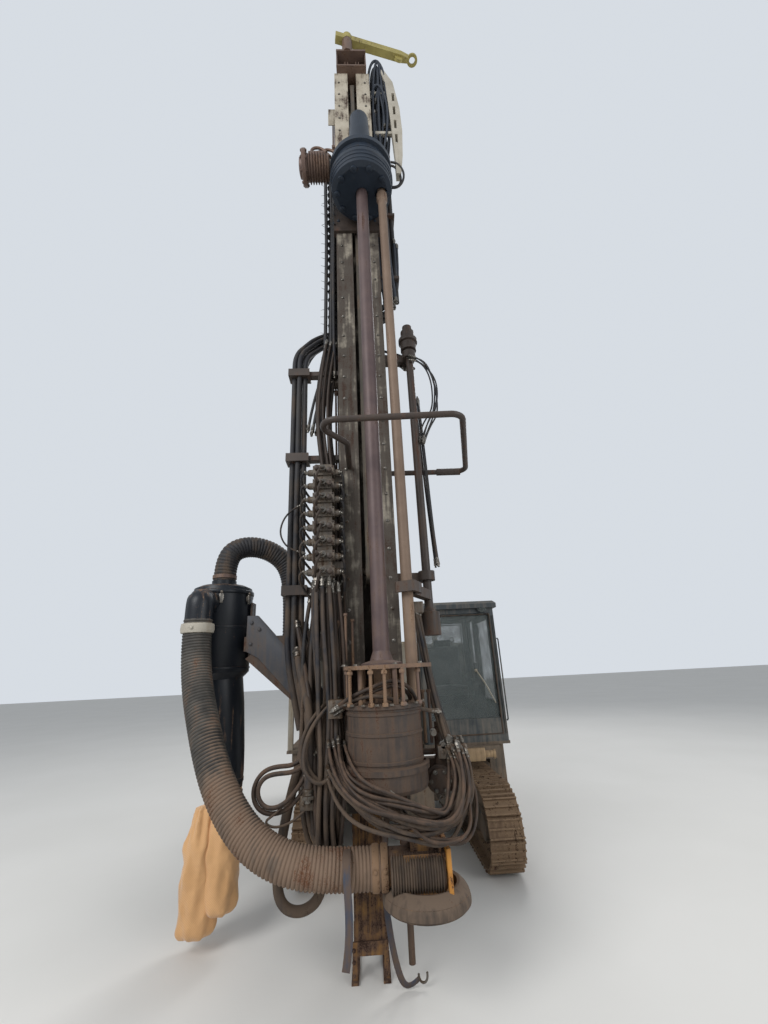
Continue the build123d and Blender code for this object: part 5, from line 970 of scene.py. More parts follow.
@dataclass
class DustBag:
    """The two sacks that hang under the cyclone, swollen by a short cloth simulation."""

    bench: Bench
    voxel: float = 0.016
    frames: int = 14
    pressure: float = 2.5
    cap: float = 0.008
    fold: float = 0.014
    seed: int = 4

    def pleat(self, piece: Piece, axis_x: float, top: float, bottom: float) -> None:
        """Presses the gathered pleats of the neck and the long folds of the sacking into the mesh."""
        dice = random.Random(self.seed)
        phase = [dice.uniform(0, 6.28) for _ in range(4)]
        for vertex in piece.data.vertices:
            x, y, z = vertex.co.x - axis_x, vertex.co.y - CYCLONE_Y, vertex.co.z
            angle = math.atan2(y, x)
            share = (top - z) / (top - bottom)
            gathered = math.sin(11 * angle + phase[0]) * max(0.0, 1 - 2.2 * share)
            long = (abs(math.sin(4 * angle + phase[1] + 3.5 * share))
                    + abs(math.sin(2.5 * angle + phase[2] - 6 * share)))
            sag = abs(math.sin(11 * share + phase[3] + 1.7 * math.sin(2 * angle + phase[0])))
            out = self.fold * (gathered + 1.1 - long - 0.7 * sag)
            vertex.co.x += out * math.cos(angle)
            vertex.co.y += out * math.sin(angle)

    def swell(self, piece: Piece) -> None:
        """Blows the closed sack up a little as cloth and applies the result, held back by the cap."""
        start = [vertex.co.copy() for vertex in piece.data.vertices]
        cloth = piece.modifiers.new("cloth", "CLOTH")
        cloth.settings.use_pressure = True
        cloth.settings.uniform_pressure_force = self.pressure
        cloth.settings.quality = 4
        cloth.settings.effector_weights.gravity = 0
        for frame_number in range(1, self.frames + 1):
            bpy.context.scene.frame_set(frame_number)
        self.bench.alone(piece)
        bpy.ops.object.modifier_apply(modifier="cloth")
        bpy.context.scene.frame_set(1)
        for vertex, before in zip(piece.data.vertices, start):
            move = vertex.co - before
            if move.length > self.cap:
                vertex.co = before + move.normalized() * self.cap

    def sacks(self) -> None:
        """Models both sacks, their folds and the swell of their contents."""
        right = ((SACK_X, .121, .121, 1.069), (SACK_X, .106, .106, 1.03), (-1.237, .116, .114, .96),
                 (-1.24, .14, .134, .8), (-1.242, .145, .146, .45), (-1.242, .14, .142, .27),
                 (-1.242, .115, .118, .235))
        left = ((-1.372, .07, .06, .955), (-1.375, .1, .09, .93), (-1.392, .15, .132, .7),
                (-1.402, .155, .142, .38), (-1.4, .148, .142, .14), (-1.4, .125, .12, .105))
        pieces = []
        for stations, axis_x in ((right, -1.24), (left, -1.395)):
            piece = self.bench.stacked(stations, CYCLONE_Y)
            self.bench.modified(piece, "REMESH", mode="VOXEL", voxel_size=self.voxel)
            self.pleat(piece, axis_x, stations[0][3], stations[-1][3])
            self.swell(piece)
            self.bench.modified(piece, "SUBSURF", levels=1, render_levels=1)
            pieces.append(piece)
        for name, piece in zip(("dust_sack_right", "dust_sack_left"), pieces):
            self.bench.settle(piece, name, Body.MAST, BAG_CLOTH)
        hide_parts("dust_bag")

    def ties(self) -> None:
        """Models the cord wound round the sacks' neck."""
        pieces = []
        for index in range(4):
            z = 1.0 + 0.011 * index
            tilt = Vector((0.05 * (index % 2), 0.03, 1)).normalized()
            pieces.append(self.bench.turned(band(0.117, 0.124, 0.011, 0.004), 32, (SACK_X, CYCLONE_Y, z),
                                            tilt))
        self.bench.settle(pieces, "sack_neck_cord", Body.MAST, STRAP_WEB)


@dataclass
class Cyclone:
    """The shell of the cyclone with its lid, slanting outlet and clips, and the plate that carries it."""

    bench: Bench
    radius: float = 0.27
    top: float = 2.7
    plate_y: float = 0.108

    def shell(self) -> None:
        """Models the lid's rim, the wall, the outlet that slants to the sack, and the inlet's bend."""
        r, top = self.radius, self.top
        wall = self.bench.turned([(.12, 1.9), (r - .06, 1.9), (r - .004, 1.955), (r, 1.96), (r, top - .07),
                                  (r + .008, top - .064), (r + .01, top - .058), (r + .01, top - .036),
                                  (r + .006, top - .03), (r - .004, top - .026), (r - .01, top),
                                  (r - .06, top + .024), (.116, top + .03), (.112, top + .034),
                                  (.112, top + .08), (.104, top + .082)], 64, (CYCLONE_X, CYCLONE_Y, 0))
        outlet = self.bench.stacked([(x, r, r, z) for x, r, z in (
            # x of the middle, radius, height
            (CYCLONE_X + .02, .19, 1.96), (CYCLONE_X + .025, .2, 1.9), (CYCLONE_X + .05, .198, 1.7),
            (SACK_X - .04, .158, 1.34), (SACK_X, .124, 1.18), (SACK_X, .118, 1.06),
        )], CYCLONE_Y, 48)
        bend = [(.2, 2.54), (.0, 2.54), (-.07, 2.54), (INLET_Y, 2.52), (INLET_Y, 2.44), (INLET_Y, 2.38)]
        inlet = self.bench.tubes([[(INLET_X, y, z) for y, z in bend]], .112)
        piece = self.bench.settle([wall, outlet, inlet], "cyclone_shell", Body.MAST, CYCLONE_PAINT)
        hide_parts("cyclone")

    def carrier(self) -> None:
        """Models the bent plate from the mast's side up to the cyclone, its folded edges given only as
        bevels, and its bolts.
        """
        outline = ((-.215, 1.25), (-.215, 1.56), (-1.0, 2.42), (-1.09, 2.42), (-1.09, 2.12), (-.98, 2.06))
        bpy.ops.mesh.primitive_circle_add(vertices=len(outline), fill_type="NGON", location=(0, 0, 0))
        plate = bpy.context.object
        for vertex, (x, z) in zip(plate.data.vertices, outline):
            vertex.co = (x, self.plate_y, z)
        with self.bench.editing(plate):
            bpy.ops.mesh.extrude_region_move(TRANSFORM_OT_translate={"value": (0, .06, 0)})
            bpy.ops.mesh.select_all(action="SELECT")
            bpy.ops.mesh.normals_make_consistent(inside=False)
            bpy.ops.mesh.bevel(offset=.004, segments=2, affect="EDGES")
        places = [((x, self.plate_y, z), Way.FRONT)
                  for x, z in ((-.26, 1.34), (-.26, 1.46), (-1.05, 2.18), (-1.05, 2.36), (-.98, 2.3))]
        bolts = self.bench.bolts(.014, places)
        self.bench.settle([plate, bolts], "cyclone_carrier", Body.MAST, CARRIER_PAINT)

    def clips(self) -> None:
        """Models the over-centre clips that hold the lid, each a strap, a lever and a hook."""
        pieces = []
        for turn in (-20, -75, -135, 40, 110, 165):
            a = math.radians(turn)
            base = self.bench.block((-.02, -.012, -.06), (.02, .0, -.005), .003)
            lever = self.bench.block((-.014, -.022, -.085), (.014, -.01, .0), .003)
            hook = self.bench.block((-.01, -.03, .0), (.01, -.004, .022), .003)
            clip = self.bench.join([base, lever, hook])
            clip.data.transform(Matrix.Translation((CYCLONE_X + self.radius * math.cos(a),
                                                    CYCLONE_Y + self.radius * math.sin(a), self.top - .075))
                                @ Matrix.Rotation(a + math.pi / 2, 4, "Z"))
            pieces.append(clip)
        self.bench.settle(pieces, "cyclone_clips", Body.MAST, BARE_STEEL)

    def seams(self) -> None:
        """Models the rolled seam bands, the outlet's band and the bolts of the lid."""
        r = self.radius
        pieces = [self.bench.turned(band(r - .002, r + .006, .018, .003), 48, (CYCLONE_X, CYCLONE_Y, z))
                  for z in (1.985, 2.33)]
        pieces.append(self.bench.turned(band(.116, .126, .03, .002), 36, (SACK_X, CYCLONE_Y, 1.1)))
        bolts = [((x, y, self.top + .01), Way.UP) for x, y in circle(CYCLONE_X, CYCLONE_Y, .21, 12)]
        pieces.append(self.bench.bolts(.009, bolts))
        self.bench.settle(pieces, "cyclone_seams", Body.MAST, CYCLONE_PAINT)


@dataclass
class ValveStack:
    """The bright plugs, solenoids and screws of the valve sections on the left of the mast."""

    bench: Bench
    x: float = -0.372
    y: float = -0.32

    def plugs(self) -> None:
        """Models the hexagon plugs at the ends of the spools and in front of each section."""
        plug = self.bench.turned([(.024, 0), (.026, .003), (.026, .012), (.02, .014)], 12)
        cap = self.bench.turned([(.017, .012), (.017, .028), (.012, .034), (.0, .036)], 6)
        side = self.bench.join([plug, cap])
        places = []
        for z in VALVE_ROWS:
            places += [((self.x - .13, self.y, z), Way.LEFT), ((self.x + .13, self.y, z), Way.RIGHT),
                       ((self.x, self.y - .1, z), Way.FRONT)]
        self.bench.settle(self.bench.copies(side, places), "valve_plugs", Body.MAST, BARE_STEEL)

    def solenoids(self) -> None:
        """Models two ribbed coils and four screws on the front of each section."""
        coil = self.bench.turned([(.016, 0), (.021, .002), (.021, .012), (.018, .014), (.018, .018),
                                  (.021, .02), (.021, .03), (.018, .032), (.018, .036), (.021, .038),
                                  (.021, .05), (.01, .054)], 14)
        places, screws = [], []
        for z in VALVE_ROWS:
            places += [((self.x - .055, self.y - .058, z + .012), Way.FRONT),
                       ((self.x + .055, self.y - .058, z - .01), Way.FRONT)]
            screws += [((self.x + dx, self.y - .058, z + dz), Way.FRONT) for dx in (-.08, .08)
                       for dz in (-.034, .034)]
        pieces = [self.bench.copies(coil, places), self.bench.bolts(.007, screws)]
        self.bench.settle(pieces, "valve_solenoids", Body.MAST, BRACKET_PAINT)


@dataclass
class RotaryHead:
    """The bolts and bands of the rotary head, the bolts of its carriage, and its ribbed motor."""

    bench: Bench
    bottom: float = 6.83
    motor_z: float = 7.25

    def bell(self) -> None:
        """Models the bolt circle and bands of the bell, and the lobes under it."""
        lobe = self.bench.turned([(.03, 0), (.034, .004), (.034, .02), (.022, .026)], 12)
        under = [((x, y, self.bottom + .004), Way.DOWN) for x, y in circle(DRUM_X, DRUM_Y, .27, 10)]
        rim = [((x, y, self.bottom + .2), Way.UP) for x, y in circle(DRUM_X, DRUM_Y, .33, 16)]
        rings = [self.bench.hoop(band(r - .008, r + .004, .021, .003), 56,
                                 (DRUM_X, DRUM_Y, self.bottom + rise))
                 for rise, r in ((.06, .332), (.11, .338), (.27, .31))]
        pieces = [self.bench.copies(lobe, under), self.bench.bolts(.013, rim), *rings]
        self.bench.settle(pieces, "bell_bolts", Body.HEAD, HEAD_PAINT)

    def carriage(self) -> None:
        """Models the bolts of the carriage's cheeks and front."""
        front = own_box("carriage")[0].y
        bolts = [((x, -.2, 6.86 + .155 * index), way) for x, way in ((-.262, Way.LEFT), (.262, Way.RIGHT))
                 for index in range(8)]
        bolts += [((x, front, z), Way.FRONT) for x in (-.21, .21) for z in (6.82, 7.1, 7.42, 7.72, 8.0)]
        self.bench.settle(self.bench.bolts(.014, bolts), "carriage_bolts", Body.HEAD, HEAD_PAINT)

    def motor(self) -> None:
        """Models the hydraulic motor: a ribbed barrel, its end flange with bolts, ports and short pipes."""
        profile = [(.1, 0), (.125, .004), (.128, .02)]
        for rib in range(7):
            z = .03 + .03 * rib
            profile += [(.128, z), (.15, z + .005), (.152, z + .012), (.13, z + .018)]
        profile += [(.135, .25), (.176, .255), (.18, .262), (.18, .29), (.172, .298), (.11, .302), (.1, .33),
                    (.06, .338)]
        barrel = self.bench.turned(profile, 40, (-.285, DRUM_Y, self.motor_z), Way.LEFT)
        ring = [((x, y, z), way) for x, way in ((-.54, Way.RIGHT), (-.584, Way.LEFT))
                for y, z in circle(DRUM_Y, self.motor_z, .157, 8, 20)]
        bolts = self.bench.bolts(.015, ring)
        port = self.bench.block((-.52, DRUM_Y - .07, 7.36), (-.34, DRUM_Y + .07, 7.44), .012)
        stubs = [[(x, DRUM_Y + dy, 7.43), (x, DRUM_Y + dy, 7.5), (x + .03, DRUM_Y + dy, 7.54),
                  (x + .12, DRUM_Y + dy, 7.53), (x + .17, DRUM_Y + dy, 7.45)]
                 for x, dy in ((-.49, -.04), (-.45, .0), (-.41, .04), (-.37, -.02))]
        pipes = self.bench.tubes(stubs, .016)
        piece = self.bench.settle([barrel, bolts, port, pipes], "head_motor_barrel", Body.HEAD, WORN_STEEL)
        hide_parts("head_motor")


@dataclass
class MastTrim:
    """Bolts, plates and tubes of the beam, and the studs, bands and clamp drive of the drum."""

    bench: Bench
    half: float = 0.21
    front: float = -0.15
    rail_pitch: float = 0.26
    joint_pitch: float = 0.53
    rod_room: float = 0.075
    clamp_x: float = 0.425
    clamp_z: float = 1.205
    wall_x: float = 0.294

    def beam_bolts(self) -> None:
        """Models the bolts of the rails and the joint plates at the beam's sections."""
        places = [((x, self.front, 1.1 + self.rail_pitch * index), Way.FRONT) for index in range(34)
                  for x in (-.182, .182)]
        places += [((x, .14, 1.4 + self.joint_pitch * index + rise), way) for index in range(16)
                   for x, way in ((-self.half, Way.LEFT), (self.half, Way.RIGHT)) for rise in (0, .09)]
        self.bench.settle(self.bench.bolts(.012, places), "beam_bolts", Body.MAST, BARE_STEEL)

    def side_plates(self) -> None:
        """Models the doubling plates on the beam's sides and the small wing plate near its top."""
        pieces = []
        for z in (1.55, 3.05, 4.55, 6.05, 7.55, 8.9):
            for x in (-self.half, self.half):
                outer = x + math.copysign(.008, x)
                pieces.append(self.bench.block((min(x, outer), -.08, z), (max(x, outer), .19, z + .2), .003))
        pieces.append(self.bench.block((-.345, -.02, 9.0), (-.21, -.005, 9.34), .004))
        self.bench.settle(pieces, "beam_plates", Body.MAST, MAST_PAINT)

    def drum_bolts(self) -> None:
        """Models the bolt circle of the drum's ring, the nuts of the table and the drum's bands."""
        places = [((x, y, 1.706), Way.UP) for x, y in circle(DRUM_X, DRUM_Y, .274, 18)]
        places += [((x, y, 1.956), Way.UP) for x in (-.2, -.12, .15, .32) for y in (-.72, -.4)]
        self.bench.settle(self.bench.bolts(.014, places), "drum_bolts", Body.MAST, BARE_STEEL)
        bands = [self.clear_rod(self.bench.hoop(band(.252, .262, .024, .004), 48, (DRUM_X, DRUM_Y, z)))
                 for z in (1.36, 1.52, 1.64)]
        self.bench.settle(bands, "drum_bands", Body.MAST, BRACKET_PAINT)

    def clear_rod(self, ring: Piece) -> Piece:
        """Opens a ring where the drill rod travels through the drum."""
        def near(face: bpy.types.MeshPolygon) -> bool:
            return math.hypot(face.center.x - ROD_X, face.center.y - ROD_Y) < self.rod_room

        return self.bench.cut(ring, near)

    def studs(self) -> None:
        """Models the threaded tie rods between the drum and the table, with their nuts."""
        rod = self.bench.turned([(.012, 0), (.012, .235)], 10)
        nuts = [self.bench.turned([(.022, 0), (.022, .018), (.018, .022)], 6, (0, 0, z))
                for z in (.002, .2)]
        model = self.bench.join([rod] + nuts)
        places = [((x, y, 1.7), Way.UP) for x, y in ((-.16, -.7), (-.19, -.45), (.07, -.815), (.3, -.7),
                                                     (-.02, -.8), (.19, -.79))]
        self.bench.settle(self.bench.copies(model, places), "drum_studs", Body.MAST, WORN_STEEL)

    def clamp_drive(self) -> None:
        """Models the clamp's motor, its valve cylinder, brackets and cross shaft by the drum."""
        x, y, z = self.clamp_x, -.45, self.clamp_z
        motor = [(.06, 0), (.084, .006), (.088, .012), (.088, .07), (.082, .074), (.082, .09), (.088, .094),
                 (.088, .15), (.07, .156), (.07, .2), (.058, .208)]
        valve = [(.02, 0), (.03, .006), (.03, .11), (.038, .114), (.038, .14), (.03, .144), (.03, .2),
                 (.02, .21), (.02, .23)]
        shaft = [(.02, 0), (.02, .27), (.026, .272), (.026, .3), (.016, .304), (.016, .32)]
        stud = [(.026, 0), (.026, .16), (.034, .162), (.034, .19), (.02, .192), (.02, .23)]
        pieces = [
            self.bench.turned(motor, 40, (x, y + .13, z), Way.FRONT),
            self.bench.turned(valve, 24, (x + .1, y, z - .09)),
            self.bench.block((self.wall_x, y + .03, z + .02), (x, y + .12, z + .12), .008),
            self.bench.block((x - .01, y, z + .06), (x + .1, y + .09, z + .13), .008),
            self.bench.block((x + .09, y, z + .12), (x + .13, y + .07, z + .2), .006),
            self.bench.turned(shaft, 20, (self.wall_x, y + .04, z + .16), Way.RIGHT),
            self.bench.turned(stud, 20, (x + .02, y + .04, z + .12)),
        ]
        self.bench.settle(pieces, "clamp_drive", Body.MAST, BRACKET_PAINT)

    def drive_fittings(self) -> None:
        """Models the plugs, flange bolts and rusty rods of the clamp drive at the drum's right."""
        bolts = [((x, -.53, z), Way.FRONT) for x, z in circle(self.clamp_x, self.clamp_z, .062, 6)]
        pieces = [self.bench.bolts(.011, bolts)]
        stub = self.bench.turned([(.02, 0), (.024, .003), (.024, .016), (.016, .018), (.016, .04),
                                  (.02, .042), (.02, .06)], 10)
        places = [((x, -.5, z), Way.FRONT) for x, z in ((.4, 1.5), (.46, 1.42), (.5, 1.46), (.56, 1.42),
                                                        (.5, 1.12), (.43, 1.1))]
        pieces.append(self.bench.copies(stub, places))
        self.bench.settle(pieces, "drive_fittings", Body.MAST, BARE_STEEL)
        rod = self.bench.turned([(.011, 0), (.011, .33), (.018, .332), (.018, .35)], 8)
        places = [(at, Way.UP) for at in ((-.255, -.33, 1.95), (-.2, -.36, 2.0), (-.15, -.3, 1.96),
                                          (.36, -.4, 1.42), (.4, -.42, 1.42))]
        self.bench.settle(self.bench.copies(rod, places), "rusty_rods", Body.MAST, WORN_STEEL)

    def side_tubes(self) -> None:
        """Lays the steel tubes along the beam's left side, and the clamps that hold them."""
        routes = [[(-.235 - .026 * i, .1, 2.9), (-.235 - .026 * i, .1, 5.6), (-.235 - .026 * i, .1, 9.5)]
                  for i in range(3)]
        tubes = self.bench.tubes(routes, .011, False)
        clamps = [self.bench.block((-.305, .075, 3.1 + .8 * i), (-.21, .125, 3.14 + .8 * i), .003)
                  for i in range(8)]
        self.bench.settle([tubes, *clamps], "side_tubes", Body.MAST, WORN_STEEL)


@dataclass
class Cab:
    """The seals, wiper, grips, lamps, pipe box and steps of the cab, and its soft seat."""

    bench: Bench
    left: float = 0.61
    right: float = 1.62
    front: float = 1.88
    rear: float = 3.42
    floor: float = 1.04
    top: float = 2.69

    def seals(self) -> None:
        """Models the rubber seals round the windscreen, the left window and the rear window."""
        frames = (
            # name of the plane, fixed value, low and high across, low and high up
            ("y", self.front, self.left + .07, self.right - .07, self.floor + .08, self.top - .17),
            ("x", self.left, self.front + .14, self.rear - .14, self.floor + .47, self.top - .17),
            ("y", self.rear, self.left + .14, self.right - .14, self.floor + .47, self.top - .17),
        )
        routes = []
        for plane, fixed, low, high, bottom, top in frames:
            ring = [(low, bottom), (high, bottom), (high, top), (low, top), (low, bottom)]
            routes.append([(a, fixed, b) if plane == "y" else (fixed, a, b) for a, b in ring])
        self.bench.settle(self.bench.tubes(routes, .011, False), "cab_seals", Body.CHASSIS, HOSE_RUBBER)

    def wiper(self) -> None:
        """Models the pale wiper: its shaft, bent arm and blade."""
        shaft = self.bench.turned([(.018, 0), (.018, .02), (.01, .024), (.01, .04)], 12,
                                  (1.3, self.front, 1.84), Way.FRONT)
        arm = self.bench.tubes([[(1.3, 1.85, 1.84), (1.36, 1.845, 1.74), (1.44, 1.855, 1.6)]], .008, False)
        blade = self.bench.tubes([[(1.38, 1.862, 1.72), (1.5, 1.862, 1.46)]], .007, False)
        self.bench.settle([shaft, arm, blade], "cab_wiper", Body.CHASSIS, HOUSE_PAINT)

    def fittings(self) -> None:
        """Models the grab rail, the lamps with their lenses and the conduits on the right post."""
        routes = [[(1.63, 1.93, 1.25), (1.645, 1.93, 1.27), (1.645, 1.93, 2.2), (1.63, 1.93, 2.22)]]
        rails = self.bench.tubes(routes, .009, False)
        conduits = self.bench.tubes([[(x, 1.87, 1.12), (x, 1.87, 2.5)] for x in (1.585, 1.6)], .006, False)
        housing = [(.03, -.05), (.055, -.04), (.07, .0), (.074, .01), (.068, .016)]
        lens = [(.064, 0), (.058, .008), (.03, .014)]
        lamps, lenses = (self.bench.copies(self.bench.turned(profile, 20),
                                           [((x, y, 2.61), Way.FRONT) for x in (.75, 1.46)])
                         for profile, y in ((housing, 1.86), (lens, 1.844)))
        self.bench.settle([rails, conduits, lamps], "cab_fittings", Body.CHASSIS, CAB_PAINT)
        self.bench.settle(lenses, "cab_lamp_lenses", Body.CHASSIS, GLASS)

    def beam_box(self) -> None:
        """Models the beige pipe box under the cab's front, with its stub."""
        box = self.bench.block((.72, 1.76, .86), (1.28, 1.9, 1.0), .012)
        stub = self.bench.turned([(.055, 0), (.055, .1), (.062, .1), (.062, .125)], 20, (1.28, 1.83, .93),
                                 Way.RIGHT)
        self.bench.settle([box, stub], "cab_pipe_box", Body.CHASSIS, BOX_PAINT)

    def steps(self) -> None:
        """Models the hanging steps below the cab, with bars across their treads."""
        pieces = []
        for y in (2.22, 2.62):
            pieces.append(self.bench.block((1.43, y - .01, .46), (1.62, y + .01, 1.04), .004))
        for z in (.47, .74):
            pieces.append(self.bench.block((1.43, 2.23, z), (1.62, 2.61, z + .025), .004))
            for index in range(5):
                x = 1.45 + .035 * index
                pieces.append(self.bench.block((x, 2.25, z + .02), (x + .008, 2.59, z + .034), .002))
        self.bench.settle(pieces, "cab_steps", Body.CHASSIS, CHASSIS_STEEL)

    def seat(self) -> None:
        """Models the crowned seat and back cushions over the plain seat solid."""
        low, high = own_box("cab_inside")
        middle = (low.x + high.x) / 2
        cushions = (
            # name, low corner, high corner
            ("seat_cushion", (middle - .25, low.y + .2, 1.52), (middle + .25, low.y + .68, 1.63)),
            ("back_cushion", (middle - .24, low.y + .6, 1.6), (middle + .24, low.y + .72, 2.18)),
        )
        for name, corner, far in cushions:
            pad = self.bench.block(corner, far, .03)
            with self.bench.editing(pad):
                bpy.ops.mesh.subdivide(number_cuts=3)
            centre = (Vector(corner) + Vector(far)) / 2
            half = (Vector(far) - Vector(corner)) / 2
            for vertex in pad.data.vertices:
                share = [(vertex.co[i] - centre[i]) / half[i] for i in range(3)]
                crown = (1 - share[0] ** 2) * (1 - max(share[1] ** 2, share[2] ** 2) * .5)
                axis = 2 if name == "seat_cushion" else 1
                vertex.co[axis] += .02 * crown * (1 if share[axis] > 0 else -.2) * (1 if axis == 2 else -1)
            self.bench.modified(pad, "SUBSURF", levels=1, render_levels=1)
            self.bench.settle(pad, name, Body.CHASSIS, SEAT_CLOTH)


@dataclass
class Straps:
    """The slack webbing straps at the hood and at the mast's lower end."""

    bench: Bench
    width: float = 0.045
    thickness: float = 0.003

    def strap(self, name: str, points: list[Point], length: float, with_pieces: list[Piece],
              far_end: str) -> None:
        curve = bpy.data.curves.new(name, "CURVE")
        curve.dimensions = "3D"
        curve.resolution_u = 10
        spline = curve.splines.new("NURBS")
        spline.points.add(len(points) - 1)
        for knot, at in zip(spline.points, points):
            knot.co = (*spot(*at), 1.0)
            knot.tilt = math.pi / 2
        spline.order_u = 3
        spline.use_endpoint_u = True
        curve.extrude = self.width / 2 - self.thickness
        curve.bevel_depth = self.thickness
        curve.bevel_resolution = 1
        piece = bpy.data.objects.new(name, curve)
        bpy.context.scene.collection.objects.link(piece)
        curve.materials.append(self.bench.finish_for(STRAP_WEB))
        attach(piece, Body.MAST.value)

    def both(self) -> None:
        """Hangs the short strap over the suction hose and the long one with its hook from the mast."""
        self.strap("hanging_strap", [(-.2, -.6, .885), (-.2, -.69, .895), (-.2, -.745, .81),
                                     (-.185, -.75, .62), (-.19, -.75, .47), (-.21, -.74, .37)],
                   .62, [], "bare")
        hook = self.hook("strap_hook", (.225, -.24, .05))
        self.strap("trailing_strap", [(.07, -.16, .955), (.05, -.21, .86), (.02, -.24, .58), (.05, -.25, .3),
                                      (.09, -.26, .12), (.13, -.25, .03), (.19, -.24, .03),
                                      (.23, -.24, .06)],
                   1.06, [hook], "fitting")

    def hook(self, name: str, at: Point) -> Piece:
        """Models the bent steel hook at a strap's end."""
        x, y, z = at
        routes = [[(x, y, z + .03), (x, y, z), (x + .03, y, z - .03), (x + .06, y, z),
                   (x + .055, y, z + .035)]]
        piece = self.bench.tubes(routes, .007)
        return self.bench.settle(piece, name, Body.MAST, BARE_STEEL)


@dataclass
class EngineHouse:
    """Lifting eyes, rivets and roof seams of the engine house, and the exhaust's rain cap."""

    bench: Bench
    left: float = -1.048
    right: float = 1.56
    rear: float = 4.85
    front: float = 3.56
    top: float = 2.25
    deck: float = 1.04

    def eyes(self) -> None:
        """Models a lifting eye near each corner of the roof."""
        pieces = []
        for x in (self.left + .18, self.right - .18):
            for y in (self.front + .2, self.rear - .2):
                bpy.ops.mesh.primitive_torus_add(major_radius=.035, minor_radius=.01, major_segments=20,
                                                 minor_segments=8)
                ring = bpy.context.object
                ring.data.transform(Matrix.Translation((x, y, self.top + .06))
                                    @ Matrix.Rotation(math.pi / 2, 4, "X"))
                pieces += [ring, self.bench.turned([(.03, 0), (.03, .01), (.014, .016), (.014, .028)], 16,
                                                   (x, y, self.top))]
        self.bench.settle(pieces, "lifting_eyes", Body.CHASSIS, BARE_STEEL)

    def rivets(self) -> None:
        """Models the rows of dome rivets along the sheet edges at the rear and the sides."""
        rivet = self.bench.turned([(.009, 0), (.008, .003), (.004, .005)], 8)
        places = []
        for z in (self.deck + .05 + index * .066 for index in range(18)):
            places += [((x, self.rear, z), Way.BACK) for x in (self.left + .05, self.right - .05)]
            places += [((x, y, z), way) for x, way in ((self.left, Way.LEFT), (self.right, Way.RIGHT))
                       for y in (self.rear - .06, self.front + .06)]
        for index in range(30):
            x = self.left + .08 + index * (self.right - self.left - .16) / 29
            places += [((x, self.rear, z), Way.BACK) for z in (self.deck + .03, self.top - .06)]
        self.bench.settle(self.bench.copies(rivet, places), "house_rivets", Body.CHASSIS, HOUSE_PAINT)

    def rain_cap(self) -> None:
        """Models the hinged rain cap on the exhaust pipe."""
        lid = self.bench.turned([(.062, 0), (.066, .006), (.05, .014), (.0, .02)], 24, (1.158, 4.15, 2.735),
                                Vector((-.35, 0, 1)).normalized())
        arm = self.bench.block((1.205, 4.14, 2.68), (1.222, 4.16, 2.74), .003)
        self.bench.settle([lid, arm], "exhaust_cap", Body.CHASSIS, WORN_STEEL)

    def roof_seams(self) -> None:
        """Models the folded standing seams of the roof."""
        pieces = [self.bench.block((x, self.front + .1, self.top - .004),
                                   (x + .014, self.rear - .06, self.top + .018), .003)
                  for x in (-.5, .1, .7, 1.2)]
        self.bench.settle(pieces, "roof_seams", Body.CHASSIS, HOUSE_PAINT)


